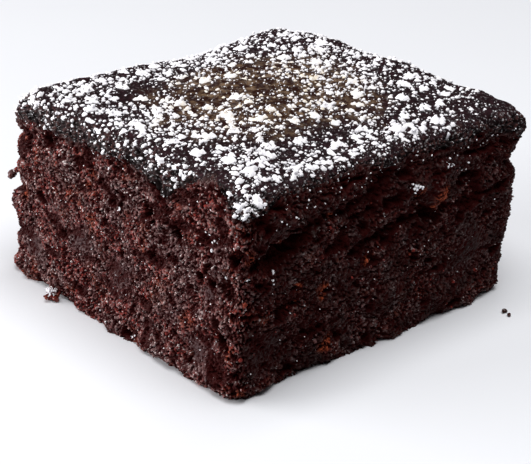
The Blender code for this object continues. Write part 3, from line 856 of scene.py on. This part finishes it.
def scattered_balls(name, centres, normals, radii, shape, rough, seed, material):
    """Many small lumps as one mesh: each is a ball stretched by its own three radii, made
    uneven by a random share of its radius, turned at random and stood on its normal."""
    draw = np.random.default_rng(seed)
    unit, faces = ball(*shape)
    count = len(centres)
    uneven = 1.0 + rough * draw.uniform(-1.0, 1.0, (count, len(unit), 1))
    local = unit[None] * uneven * radii[:, None, :]
    spin = draw.uniform(0.0, math.tau, count)
    side = np.cross(normals, np.array([0.31, 0.57, 0.76]))
    side = side / np.linalg.norm(side, axis=1, keepdims=True)
    other = np.cross(normals, side)
    first = side * np.cos(spin)[:, None] + other * np.sin(spin)[:, None]
    second = np.cross(normals, first)
    axes = np.stack([first, second, normals], 1)
    points = (local @ axes + centres[:, None, :]).reshape(-1, 3)
    numbers = (np.arange(count)[:, None, None] * len(unit) + faces[None]).reshape(-1, 3)
    return put_mesh(name, points, [numbers], material)


def three_radii(draw, size, low, high):
    """Each lump's radii across, along and up: its size times three draws from low to high."""
    return size[:, None] * draw.uniform(low, high, (len(size), 3))


def places_near(draw, rows):
    """Random places round the middles of a table's rows, each (middle, reach, how many, ...)."""
    return [draw.normal(middle, reach / 2, (count, 3)) for middle, reach, count, *_ in rows]


def places_on_faces(draw, count, highest):
    """Random places all over the four cut faces, up to this share of their height."""
    along, up = draw.uniform(-1.0, 1.0, count), EDGE_HEIGHT * draw.uniform(0.0, highest, count)
    turn, one = draw.integers(0, 4, count), np.ones(count)
    x = np.choose(turn, (along, one, -along, -one)) * SIDE_X / 2
    y = np.choose(turn, (-one, along, one, -along)) * SIDE_Y / 2
    return np.stack([x, y, up], -1)


def nearest_on_faces(place, crumb, skin):
    """The cut faces' surface at each place, and its outward direction."""
    height = np.clip(place[:, 2], 0.3, EDGE_HEIGHT)
    flat = place - LEAN * (height / EDGE_HEIGHT)[:, None]
    ring = np.maximum(np.abs(flat[:, 0]) / (SIDE_X / 2), np.abs(flat[:, 1]) / (SIDE_Y / 2))
    a, b = flat[:, 0] / (SIDE_X / 2) / ring, flat[:, 1] / (SIDE_Y / 2) / ring
    centres, normals, _ = cake_surface(a, b, up_the_side(height), crumb, skin)
    return centres, normals


def finish_piece(piece, stands_for_cake):
    """Ties a piece to the cake's body, and hides the solid's cake part when the piece stands for it."""
    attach(piece, "root")
    if stands_for_cake:
        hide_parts("cake")


# ---------------------------------------------------------------- materials


def add(tree, kind, settings):
    """Adds a node of this kind. Each setting is one of its sockets, by name or number, or else a
    property of the node. A setting that comes from another node is linked."""
    node = tree.nodes.new(kind)
    for key, value in settings.items():
        if not isinstance(key, int) and key not in node.inputs:
            setattr(node, key, value)
        elif isinstance(value, bpy.types.NodeSocket):
            tree.links.new(value, node.inputs[key])
        else:
            node.inputs[key].default_value = value
    return node


def pattern(tree, source):
    """A number that varies over the piece: one that its mesh carries, by name, or noise in the
    piece's own space, as (width of a blotch in millimetres, detail, shift)."""
    if isinstance(source, str):
        return add(tree, "ShaderNodeAttribute", {"attribute_name": source}).outputs["Fac"]
    width, detail, shift = source
    place = add(tree, "ShaderNodeTexCoord", {}).outputs["Object"]
    moved = add(tree, "ShaderNodeMapping", {"Location": (shift, shift, shift), "Vector": place})
    settings = {"Scale": 0.5 / (width * MM), "Detail": detail, "Roughness": 0.6}
    return add(tree, "ShaderNodeTexNoise", {**settings, "Vector": moved.outputs[0]}).outputs[0]


def stretched(tree, source, low, high, ends=(0.0, 1.0)):
    """A pattern with low..high stretched to these ends, and cut off outside them."""
    settings = {"From Min": low, "From Max": high, "To Min": ends[0], "To Max": ends[1], "clamp": True}
    return add(tree, "ShaderNodeMapRange", {**settings, "Value": pattern(tree, source)}).outputs[0]


def painted(tree, base, layers):
    """A base colour with layers over it. Each layer is (pattern, low, high, colour): it covers
    nothing where the pattern is at low and everything at high, evenly between. A fifth entry
    names a number of the mesh, and the layer's cover is multiplied by it."""
    for source, low, high, over, *within in layers:
        share = stretched(tree, source, low, high)
        for name in within:
            factors = {"operation": "MULTIPLY", 0: share, 1: pattern(tree, name)}
            share = add(tree, "ShaderNodeMath", factors).outputs[0]
        mix = add(tree, "ShaderNodeMix", {"data_type": "RGBA", 0: share, 6: base, 7: over})
        base = mix.outputs[2]
    return base


def new_material(name):
    """An empty material, and its tree of nodes."""
    made = bpy.data.materials.new(name)
    made.use_nodes = True
    made.node_tree.nodes.clear()
    return made, made.node_tree


def finish_material(made, settings, bump=None):
    """Ends a material with a Principled BSDF that has these settings. A bump is (strength, height
    in millimetres, pattern)."""
    tree = made.node_tree
    if bump:
        strength, height, source = bump
        relief = {"Strength": strength, "Distance": height * MM, "Height": pattern(tree, source)}
        settings = {**settings, "Normal": add(tree, "ShaderNodeBump", relief).outputs[0]}
    shader = add(tree, "ShaderNodeBsdfPrincipled", settings)
    add(tree, "ShaderNodeOutputMaterial", {"Surface": shader.outputs[0]})
    return made


def moist_sponge(look):
    """Moist chocolate sponge, torn and cut: dark red-brown, with shade painted nearly black in its pores
    and hollows, and lighter and greyer on the raised grains, partly drier crumb and partly a painted
    highlight. Matt, with pale specks painted in as glints, partly fat and sugar. The +X face, away
    from the lights, and a band under the skin are painted darker, partly as shade, and the orange lumps
    on the +X face brighter as a painted glow. Real crumb is finer still, and is drawn 0.2 to 0.3 mm
    coarse so that it shows."""
    made, tree = new_material(SPONGE)
    dry_patches = [((3.0, 2.0, 9.0), 0.45, 0.58, look.grey)]
    layers = (
        ((0.29, 3.0, 0.0), 0.43, 0.53, painted(tree, look.body, dry_patches)),
        ((2.2, 2.0, 7.0), 0.54, 0.8, look.spots),
        # raised grains made lighter: partly drier crumb, partly painted highlight
        ("tone", 0.6, 1.25, look.tips_and_highlights),
        # painted highlights: pale specks of noise, partly fat and sugar
        ((0.25, 1.0, 4.0), 0.635, 0.69, look.glints),
        ("pressed", 0.05, 0.95, look.pressed),
        # partly browning, partly painted shade under the skin and over the +X face
        ("browning_and_shade", 0.0, 1.15, look.browning_and_shade),
        ("rusty_and_glow", 0.2, 1.0, look.spots),
        # painted glow: brighter orange on the lumps, mostly on the shaded +X face
        ("rusty_and_glow", 0.8, 1.7, look.painted_amber_glow),
        # painted shade in pores, gaps and hollows, by the mesh's depth number
        ("depth", 0.12, 0.6, look.deep),
    )
    settings = {
        "Base Color": painted(tree, look.deep, layers),
        "Roughness": stretched(tree, (0.3, 2.0, 3.0), 0.3, 0.7, (0.32, 0.8)),
        "IOR": 1.45,
        "Specular IOR Level": 0.1,
        "Specular Tint": (1.0, 0.58, 0.55, 1.0),
    }
    return finish_material(made, settings, (1.0, 0.2, (0.2, 3.0, 0.0)))


def baked_skin(look):
    """Baked skin of a cocoa cake: a dark, faintly violet, dry film, golden brown and slightly wet
    in the middle where sugar has melted into it. Near its torn edge, crumb shows through it, and its
    holes there are painted near black as shade."""
    made, tree = new_material("baked_cocoa_skin")
    glaze = painted(tree, look.moist, [((1.0, 6.0, 2.0), 0.47, 0.7, look.moist_light)])
    layers = (
        ((0.5, 4.0, 0.0), 0.42, 0.72, look.dry_light),
        ("moist", 0.0, 1.0, glaze),
        ("tone", 0.5, 1.3, look.crumb, "crumbly"),
        # painted shade in the skin's holes
        ("depth", 0.1, 0.7, look.pore_shade),
        ((0.24, 1.0, 5.0), 0.6, 0.7, look.film, "dusted"),
    )
    settings = {
        "Base Color": painted(tree, look.dry, layers),
        "Roughness": stretched(tree, "moist", 0.0, 1.0, (0.62, 0.42)),
        "IOR": 1.45,
        "Specular IOR Level": 0.09,
    }
    return finish_material(made, settings, (0.6, 0.1, (0.5, 4.0, 0.0)))


def icing_sugar(look):
    """Icing sugar: a powder that scatters nearly all light, so it is matt and almost pure white,
    with its fine lumps as bump. It turns creamy where it starts to melt."""
    made, tree = new_material("icing_sugar")
    melting = [((0.9, 2.0, 0.0), 0.4, 0.7, look.melted, "moist")]
    settings = {
        "Base Color": painted(tree, look.white, melting),
        "Roughness": 0.95,
        "IOR": 1.5,
        "Specular IOR Level": 0.2,
    }
    return finish_material(made, settings, (0.5, 0.08, (0.2, 3.0, 0.0)))


def matt_floor(look):
    """Matt pale paper board, with a hardly visible mottle."""
    made, tree = new_material("pale_paper_board")
    darker = tuple(0.97 * part for part in tuple(look.floor)[:3]) + (1.0,)
    mottle = painted(tree, look.floor, [((60.0, 2.0, 0.0), 0.0, 1.0, darker)])
    return finish_material(made, {"Base Color": mottle, "Roughness": 0.7, "Specular IOR Level": 0.3})


# ---------------------------------------------------------------- sugar places


def clump_places():
    """The solid's largest clumps: (s, t, width) of each, the same draws as there."""
    draw = random.Random(CLUMP_SEED)
    half_x, half_y = SIDE_X / 2 - SHOULDER_RADIUS, SIDE_Y / 2 - SHOULDER_RADIUS
    places = []
    widths = sorted((draw.uniform(*CLUMP_WIDTH) for _ in range(CLUMP_COUNT)), reverse=True)
    while len(places) < CLUMP_COUNT:
        width = widths[len(places)]
        a, b = draw.uniform(-1.0, 1.0), draw.uniform(-1.0, 1.0)
        keep = CLUMPS_IN_MIDDLE + (1.0 - CLUMPS_IN_MIDDLE) * max(abs(a), abs(b))
        bare = math.hypot(a - BARE_CORNER[0], b - BARE_CORNER[1]) < BARE_REACH
        apart = all(
            math.hypot((a - x) * half_x, (b - y) * half_y) > CLUMP_SPACING * (width + wide) / 2
            for x, y, wide in places
        )
        if draw.random() < keep and apart and not bare:
            places.append((a, b, width))
    return np.array(places)


def sugar_cover(s, t):
    """Share of the skin that sugar covers: more near the edges than in the moist middle, changed
    at the named heaps and by broad noise, none at the bare corner, and fading down the shoulder:
    late on the -Y face and at its corners, early over the +X face."""
    x, y = s * HALF_TOP, t * HALF_TOP
    flat = np.stack([x, y, np.zeros_like(x)], -1)
    ring = np.maximum(np.abs(s), np.abs(t))
    cover = COVER + EDGE_COVER * smoothstep(0.35, 0.9, ring)
    cover = cover + PATCHY_COVER * value_noise(flat, 6.0, 701)
    for middle, reach, change in HEAPS:
        cover = cover + change * near_in_plan(x + TOP_SHIFT[0], y + TOP_SHIFT[1], middle, reach)
    down = (ring - 1.0) * HALF_TOP + 2.0 * value_noise(flat, 4.5, 702) + value_noise(flat, 1.6, 703)
    drop = SUGAR_DROP - 3.0 * smoothstep(0.6, 1.0, s) - 4.2 * bell(x - 22.0, 5.0) * (t < -0.8)
    for middle, reach, further in SUGAR_RUNS:
        drop = drop + further * near_in_plan(x, y, middle, reach)
    cover = cover * (1.0 - smoothstep(drop - 1.8, drop + 1.8, down))
    return cover * smoothstep(*BARE_SPOT_EDGES, np.hypot(x - BARE_SPOT[0], y - BARE_SPOT[1]))


def sugar_height(s, t, look):
    """Thickness of the sugar in millimetres, below zero where there is none. Round dots of two
    sizes stand round random points and join where they touch; the wider the wanted cover, the
    wider the dots. The solid's clumps are further dots. Fine noise roughens all of it."""
    x, y = s * HALF_TOP, t * HALF_TOP
    flat = np.stack([x, y, np.zeros_like(x)], -1)
    moved = flat.copy()
    moved[..., :2] += 0.08 * noise_arrows(flat, 0.9, 731, 2)
    cover = sugar_cover(s, t)
    size, steep = look.dot_size / MM, look.steepness
    height = np.full(x.shape, -1.0)
    wide = np.sqrt(np.maximum(cover, 0.0) / 0.84)
    for spacing, kept, seed in (
        (size, np.clip(0.2 + 1.1 * cover, 0.0, 1.0) * (cover > 0.02), 741),
        (0.6 * size, np.clip(0.8 * cover, 0.01, 1.0), 745),
    ):
        near, _, number = nearest_cell(moved, spacing, seed, 2)
        rank = (number - 1.0 + kept) / np.maximum(kept, 0.01)
        radius = spacing * wide * (DOT_SIZE[0] + DOT_SIZE[1] * rank) * (rank > 0.0)
        dome = radius - near**2 / np.maximum(radius, 0.05)
        height = np.maximum(height, steep * dome)
    lobes = 1.0 + 0.3 * value_noise(flat, 0.8, 735)
    for clump_s, clump_t, width in clump_places():
        for k in range(CLUMP_DOTS):
            angle, shift = 9.0 * width + 1.7 * k, CLUMP_DOTS_OUT * width
            dot_x = clump_s * HALF_TOP + shift * math.cos(angle)
            dot_y = clump_t * HALF_TOP + shift * math.sin(angle)
            radius = (CLUMP_DOT_SIZE[0] + CLUMP_DOT_SIZE[1] * k) * width
            dome = 1.0 - (np.hypot(x - dot_x, y - dot_y) * lobes / radius) ** 2
            height = np.maximum(height, CLUMP_HEIGHT * width * dome)
    rough = value_noise(flat, 0.45, 751) + 0.6 * value_noise(flat, 0.9, 752)
    return height + SUGAR_ROUGHNESS * rough


# ---------------------------------------------------------------- operators


class CAKE_OT_cut_faces(bpy.types.Operator):
    """Makes the four cut sides of torn sponge."""

    bl_idname = "cake.cut_faces"
    bl_label = "Cut faces"

    def execute(self, context):
        look, skin = context.scene.cake_crumb, context.scene.cake_skin
        material = moist_sponge(look)
        rows = round(EDGE_HEIGHT / (look.row_pitch / MM))
        columns = round(SIDE_X / (look.row_pitch / MM))
        along = np.linspace(-1.0, 1.0, columns + 1)
        fixed = np.ones_like(along)
        sides = {
            "crumb_front_left": (along, -fixed),
            "crumb_front_right": (fixed, along),
            "crumb_back_right": (-along, fixed),
            "crumb_back_left": (-fixed, -along),
        }
        for name, (a, b) in sides.items():
            top, _ = smooth_block(a, b, np.ones_like(a))
            edge, _ = skin_edge(top)
            share = np.linspace(0.0, 1.0, rows + 1)[:, None]
            height = share * (edge + 0.25)[None, :]
            a, b = (np.broadcast_to(part, height.shape) for part in (a, b))
            grid, _, numbers = cake_surface(a, b, up_the_side(height), look, skin)
            piece = closed_sheet(name, grid, numbers, material)
            finish_piece(piece, True)
        return {"FINISHED"}


class CAKE_OT_stuck_crumbs(bpy.types.Operator):
    """Makes small crumbs that stick to the cut faces: the named ones, and more at random."""

    bl_idname = "cake.stuck_crumbs"
    bl_label = "Stuck crumbs"

    count: bpy.props.IntProperty(name="Count", description="How many at random", default=420)

    def execute(self, context):
        look, skin = context.scene.cake_crumb, context.scene.cake_skin
        draw = np.random.default_rng(71)
        named = places_near(draw, STUCK)
        wide = [draw.uniform(0.55, 1.0, count) * size for _, _, count, size in STUCK]
        outward = [np.tile(np.array(middle) * AWAY, (count, 1)) for middle, _, count, _ in STUCK]
        centres, normals = nearest_on_faces(places_on_faces(draw, self.count, 0.85), look, skin)
        size = STUCK_SIZE[0] + STUCK_SIZE[1] * draw.uniform(0.0, 1.0, self.count) ** 3
        centres = np.concatenate([*named, centres + normals * (0.4 * size)[:, None]])
        normals = np.concatenate([*outward, normals])
        size = np.concatenate([*wide, size])
        centres[:, 2] = np.maximum(centres[:, 2], LOWEST_CRUMB * size)
        radii = three_radii(draw, size, 0.75, 1.15)
        material = bpy.data.materials[SPONGE]
        piece = scattered_balls("stuck_crumbs", centres, normals, radii, (9, 7), 0.2, 73, material)
        dry = np.where(centres[:, 0] > LOOSE_FROM, 0.9, 0.3)
        put_numbers(piece, "browning_and_shade", np.repeat(dry, len(piece.data.vertices) // len(dry)))
        finish_piece(piece, False)
        return {"FINISHED"}


class CAKE_OT_underside(bpy.types.Operator):
    """Makes the flat underside, which is the border of the cut faces drawn in to the middle."""

    bl_idname = "cake.underside"
    bl_label = "Underside"

    cells: bpy.props.IntProperty(name="Cells", description="Cells along each side", default=130)

    def execute(self, context):
        look, skin = context.scene.cake_crumb, context.scene.cake_skin
        a, b = square_grid(self.cells)
        ring = np.maximum(np.abs(a), np.abs(b))
        edge = np.maximum(ring, 1e-9)
        rim, _, numbers = cake_surface(a / edge, b / edge, np.zeros_like(a), look, skin)
        grid = rim * ring[..., None]
        grid[..., 2] = UNDERSIDE_RISE * (1.0 + value_noise(grid, 1.3, 801)) * (1.0 - ring**6)
        numbers = {kind: values[:, ::-1] for kind, values in numbers.items()}
        piece = closed_sheet("underside", grid[:, ::-1], numbers, bpy.data.materials[SPONGE])
        finish_piece(piece, True)
        return {"FINISHED"}


class CAKE_OT_baked_skin(bpy.types.Operator):
    """Makes the baked skin: a square grid on top and rings down to just under its edge."""

    bl_idname = "cake.baked_skin"
    bl_label = "Baked skin"

    rings: bpy.props.IntProperty(name="Rings", description="Rings below the top", default=44)

    def execute(self, context):
        crumb, look = context.scene.cake_crumb, context.scene.cake_skin
        cells = look.cells
        s, t = square_grid(cells)
        top, _, on_top = skin_surface(s, t, crumb, look)
        rim = border_of(cells + 1, cells + 1)
        a, b = s.ravel()[rim], t.ravel()[rim]
        level, _ = smooth_block(a, b, np.ones_like(a))
        edge, _ = skin_edge(level)
        share = np.linspace(0.0, 1.0, self.rings + 1)[1:, None]
        c = 2.0 + share * (up_the_side(edge - SKIN_TUCK_DOWN) - 2.0)[None, :]
        a, b = (np.broadcast_to(part, c.shape) for part in (a, b))
        side, out, below = cake_surface(a, b, c, crumb, look)
        side[-1] -= SKIN_TUCK_IN * out[-1]
        points = np.concatenate([top.reshape(-1, 3), side.reshape(-1, 3), MIDDLE[None]])
        numbers = (cells + 1) ** 2 + np.arange(side[..., 0].size).reshape(side.shape[:2])
        loops = np.concatenate([rim[None, :], numbers])
        after = np.roll(loops, -1, axis=1)
        walls = np.stack([loops[:-1], loops[1:], after[1:], after[:-1]], -1).reshape(-1, 4)
        quads = np.concatenate([grid_faces(cells + 1, cells + 1), walls])
        back = fan(loops[-1], len(points) - 1)
        piece = put_mesh("baked_skin", points, [quads, back], baked_skin(look), flat_from=len(quads))
        put_numbers(piece, "moist", moist(points))
        for kind in ("tone", "depth", "crumbly"):
            values = np.concatenate([on_top[kind].ravel(), below[kind].ravel(), [0.0]])
            put_numbers(piece, kind, values)
        ring = np.max(np.abs(points[:, :2] - LEAN[:2]), axis=1) / (SIDE_X / 2)
        put_numbers(piece, "dusted", FILM + EDGE_FILM * smoothstep(0.8, 1.0, ring))
        finish_piece(piece, True)
        return {"FINISHED"}


class CAKE_OT_icing_sugar(bpy.types.Operator):
    """Makes icing sugar: patches of joined dots, loose grains between them, and fine dust."""

    bl_idname = "cake.icing_sugar"
    bl_label = "Icing sugar"

    def execute(self, context):
        scene = context.scene
        material = icing_sugar(scene.cake_sugar)
        for task in (self.patches, self.grains, self.dust, self.specks):
            task(scene.cake_sugar, (scene.cake_crumb, scene.cake_skin), material)
        return {"FINISHED"}

    def patches(self, look, skin, material):
        """The sheet of sugar: squares of a fine grid that rise above the skin, their copy a
        little below it, and walls between the two."""
        s, t = sheet_grid(look.pitch / MM, PATCHES_TO)
        height = sugar_height(s, t, look)
        points, out, _ = skin_surface(s, t, *skin)
        top = points + out * np.maximum(height, -0.12)[..., None]
        bottom = points - SUGAR_SUNK * out
        squares = grid_faces(*s.shape)
        kept = squares[height.ravel()[squares].max(axis=1) > 0.0]
        middle = s.ravel()[kept].mean(axis=1)
        for name, chosen in (("sugar_left", middle < 0.0), ("sugar_right", middle >= 0.0)):
            piece = thick_sheet(name, top, bottom, kept[chosen], material)
            where = np.empty(len(piece.data.vertices) * 3, np.float32)
            piece.data.vertices.foreach_get("co", where)
            put_numbers(piece, "moist", moist(where.reshape(-1, 3) / MM))
            finish_piece(piece, False)

    def grains(self, look, skin, material):
        """Loose grains at the places of a shaken grid, likelier where more sugar is wanted."""
        draw = np.random.default_rng(41)
        pitch = look.grain_pitch / MM
        s, t = (part.ravel() for part in sheet_grid(pitch, GRAINS_TO))
        s = s + draw.uniform(-0.45, 0.45, len(s)) * pitch / HALF_TOP
        t = t + draw.uniform(-0.45, 0.45, len(t)) * pitch / HALF_TOP
        cover = sugar_cover(s, t)
        chance = GRAIN_CHANCE * np.minimum(cover + GRAIN_STRAYS, GRAIN_MOST)
        kept = draw.uniform(0.0, 1.0, len(s)) < chance
        s, t, cover = s[kept], t[kept], cover[kept]
        centres, normals, _ = skin_surface(s, t, *skin)
        larger = GRAIN_SIZE[1] * draw.uniform(0.0, 1.0, len(s)) ** 2 * smoothstep(-0.1, 0.3, cover)
        size = GRAIN_SIZE[0] + larger
        radii = three_radii(draw, size, 0.75, 1.25) * np.array([1.1, 1.0, 0.8])
        centres = centres + normals * (0.4 * size + np.maximum(sugar_height(s, t, look), 0.0))[:, None]
        piece = scattered_balls("sugar_grains", centres, normals, radii, (5, 4), 0.22, 43, material)
        finish_piece(piece, False)

    def specks(self, look, skin, material):
        """Specks that fell on the cut faces: the named ones, and more at random."""
        draw = np.random.default_rng(61)
        place = np.concatenate([*places_near(draw, GLINTS), places_on_faces(draw, STRAY_SPECKS, 0.9)])
        centres, normals = nearest_on_faces(place, *skin)
        heap = np.concatenate(places_near(draw, SUGARED))
        normals = np.concatenate([np.tile((0.0, 0.0, 1.0), (len(heap), 1)), normals])
        centres = np.concatenate([heap, centres])
        size = draw.uniform(*SPECK_SIZE, len(centres))
        size *= np.where(np.arange(len(centres)) < len(centres) - STRAY_SPECKS, 1.3, 0.7)
        centres[:, 2] = np.maximum(centres[:, 2], LOWEST_SPECK * size)
        radii = three_radii(draw, size, 0.7, 1.3)
        piece = scattered_balls("sugar_specks", centres, normals, radii, (5, 4), 0.25, 63, material)
        finish_piece(piece, False)

    def dust(self, look, skin, material):
        """Specks of fine dust at random places, each kept by a chance that grows with the wanted
        cover."""
        draw = np.random.default_rng(51)
        s, t = draw.uniform(-DUST_TO, DUST_TO, (2, look.dust))
        kept = draw.uniform(0.0, 0.75, len(s)) < sugar_cover(s, t) + DUST_STRAYS
        centres, normals, _ = skin_surface(s[kept], t[kept], *skin)
        size = DUST_SIZE[0] + DUST_SIZE[1] * draw.uniform(0.0, 1.0, len(centres)) ** 2
        radii = three_radii(draw, size, 0.7, 1.3)
        centres = centres + normals * (0.3 * size)[:, None]
        piece = scattered_balls("sugar_dust", centres, normals, radii, (4, 3), 0.2, 53, material)
        finish_piece(piece, False)


class CAKE_OT_stage(bpy.types.Operator):
    """Makes the pale floor, the soft lights, the room's light and the camera."""

    bl_idname = "cake.stage"
    bl_label = "Stage"

    def execute(self, context):
        look = context.scene.cake_stage
        self.floor(look)
        self.room(look)
        self.lamp("window", WINDOW_PLACE, WINDOW_SIZE, look.key)
        self.lamp("ceiling", CEILING_PLACE, CEILING_SIZE, look.top)
        self.camera()
        context.scene.view_settings.view_transform = "Standard"
        context.scene.view_settings.look = "None"
        return {"FINISHED"}

    def floor(self, look):
        """A flat square just below the cake."""
        x, y = (FLOOR_HALF * part for part in square_grid(FLOOR_CELLS))
        grid = np.stack([x, y, np.full_like(x, -FLOOR_GAP)], -1)
        faces = [grid_faces(FLOOR_CELLS + 1, FLOOR_CELLS + 1)]
        floor = put_mesh("floor", grid.reshape(-1, 3), faces, matt_floor(look))

    def room(self, look):
        """Even light from all round."""
        world = bpy.data.worlds.new("room")
        bpy.context.scene.world = world
        world.use_nodes = True
        world.node_tree.nodes.clear()
        settings = {"Color": look.sky, "Strength": look.sky_strength}
        light = add(world.node_tree, "ShaderNodeBackground", settings)
        add(world.node_tree, "ShaderNodeOutputWorld", {"Surface": light.outputs[0]})

    def lamp(self, name, place, size, power):
        """A soft light of this (width, height), at a place in millimetres, turned to the cake."""
        data = bpy.data.lights.new(name, "AREA")
        data.shape = "RECTANGLE"
        data.size, data.size_y = size[0] * MM, size[1] * MM
        data.energy = power
        lamp = bpy.data.objects.new(name, data)
        bpy.context.scene.collection.objects.link(lamp)
        back = np.array(place, float) - np.array(LIGHT_AIM, float)
        back = back / np.linalg.norm(back)
        right = np.cross([0.0, 0.0, 1.0], back)
        right = right / np.linalg.norm(right)
        self.stand(lamp, right, np.cross(back, right), back, place)

    def stand(self, thing, right, up, back, place):
        """Puts a light or a camera in place, with its X, Y and Z along these directions."""
        columns = [np.append(part, 0.0) for part in (right, up, back)]
        columns.append(np.append(np.array(place, float) * MM, 1.0))
        thing.matrix_world = Matrix(np.array(columns).T.tolist())

    def camera(self):
        """A pinhole camera at the named eye."""
        data = bpy.data.cameras.new("camera")
        data.sensor_fit = "HORIZONTAL"
        data.lens = LENS
        data.clip_start, data.clip_end = 0.01, 20.0
        camera = bpy.data.objects.new("camera", data)
        bpy.context.scene.collection.objects.link(camera)
        self.stand(camera, EYE_RIGHT, EYE_UP, EYE_BACK, EYE)
        bpy.context.scene.camera = camera


class CAKE_PT_panel(bpy.types.Panel):
    """Lists the pieces of the cake in the sidebar."""

    bl_label = "Cake square"
    bl_idname = "CAKE_PT_panel"
    bl_space_type = "VIEW_3D"
    bl_region_type = "UI"
    bl_category = "Cake"

    def draw(self, context):
        for group, operators in PANEL_ROWS:
            box = self.layout.box()
            settings = getattr(context.scene, group)
            for name in settings.bl_rna.properties.keys():
                if name not in {"rna_type", "name"}:
                    box.prop(settings, name)
            for operator in operators:
                box.operator(operator.bl_idname)


PANEL_ROWS = (
    ("cake_crumb", (CAKE_OT_cut_faces, CAKE_OT_stuck_crumbs, CAKE_OT_underside)),
    ("cake_skin", (CAKE_OT_baked_skin,)),
    ("cake_sugar", (CAKE_OT_icing_sugar,)),
    ("cake_stage", (CAKE_OT_stage,)),
)
SETTINGS = {
    "cake_crumb": CrumbSettings,
    "cake_skin": SkinSettings,
    "cake_sugar": SugarSettings,
    "cake_stage": StageSettings,
}
CLASSES = (
    *SETTINGS.values(),
    *(operator for _, operators in PANEL_ROWS for operator in operators),
    CAKE_PT_panel,
)


def register():
    """Makes the settings, the operators and the panel known to Blender."""
    for made in CLASSES:
        bpy.utils.register_class(made)
    for name, made in SETTINGS.items():
        setattr(bpy.types.Scene, name, bpy.props.PointerProperty(type=made))


def unregister():
    """Takes away what register added, in the opposite order."""
    for name in SETTINGS:
        delattr(bpy.types.Scene, name)
    for made in reversed(CLASSES):
        bpy.utils.unregister_class(made)


def main():
    """Makes every piece in order."""
    register()
    bpy.ops.cake.cut_faces()
    bpy.ops.cake.stuck_crumbs()
    bpy.ops.cake.underside()
    bpy.ops.cake.baked_skin()
    bpy.ops.cake.icing_sugar()
    bpy.ops.cake.stage()


if __name__ == "__main__":
    main()
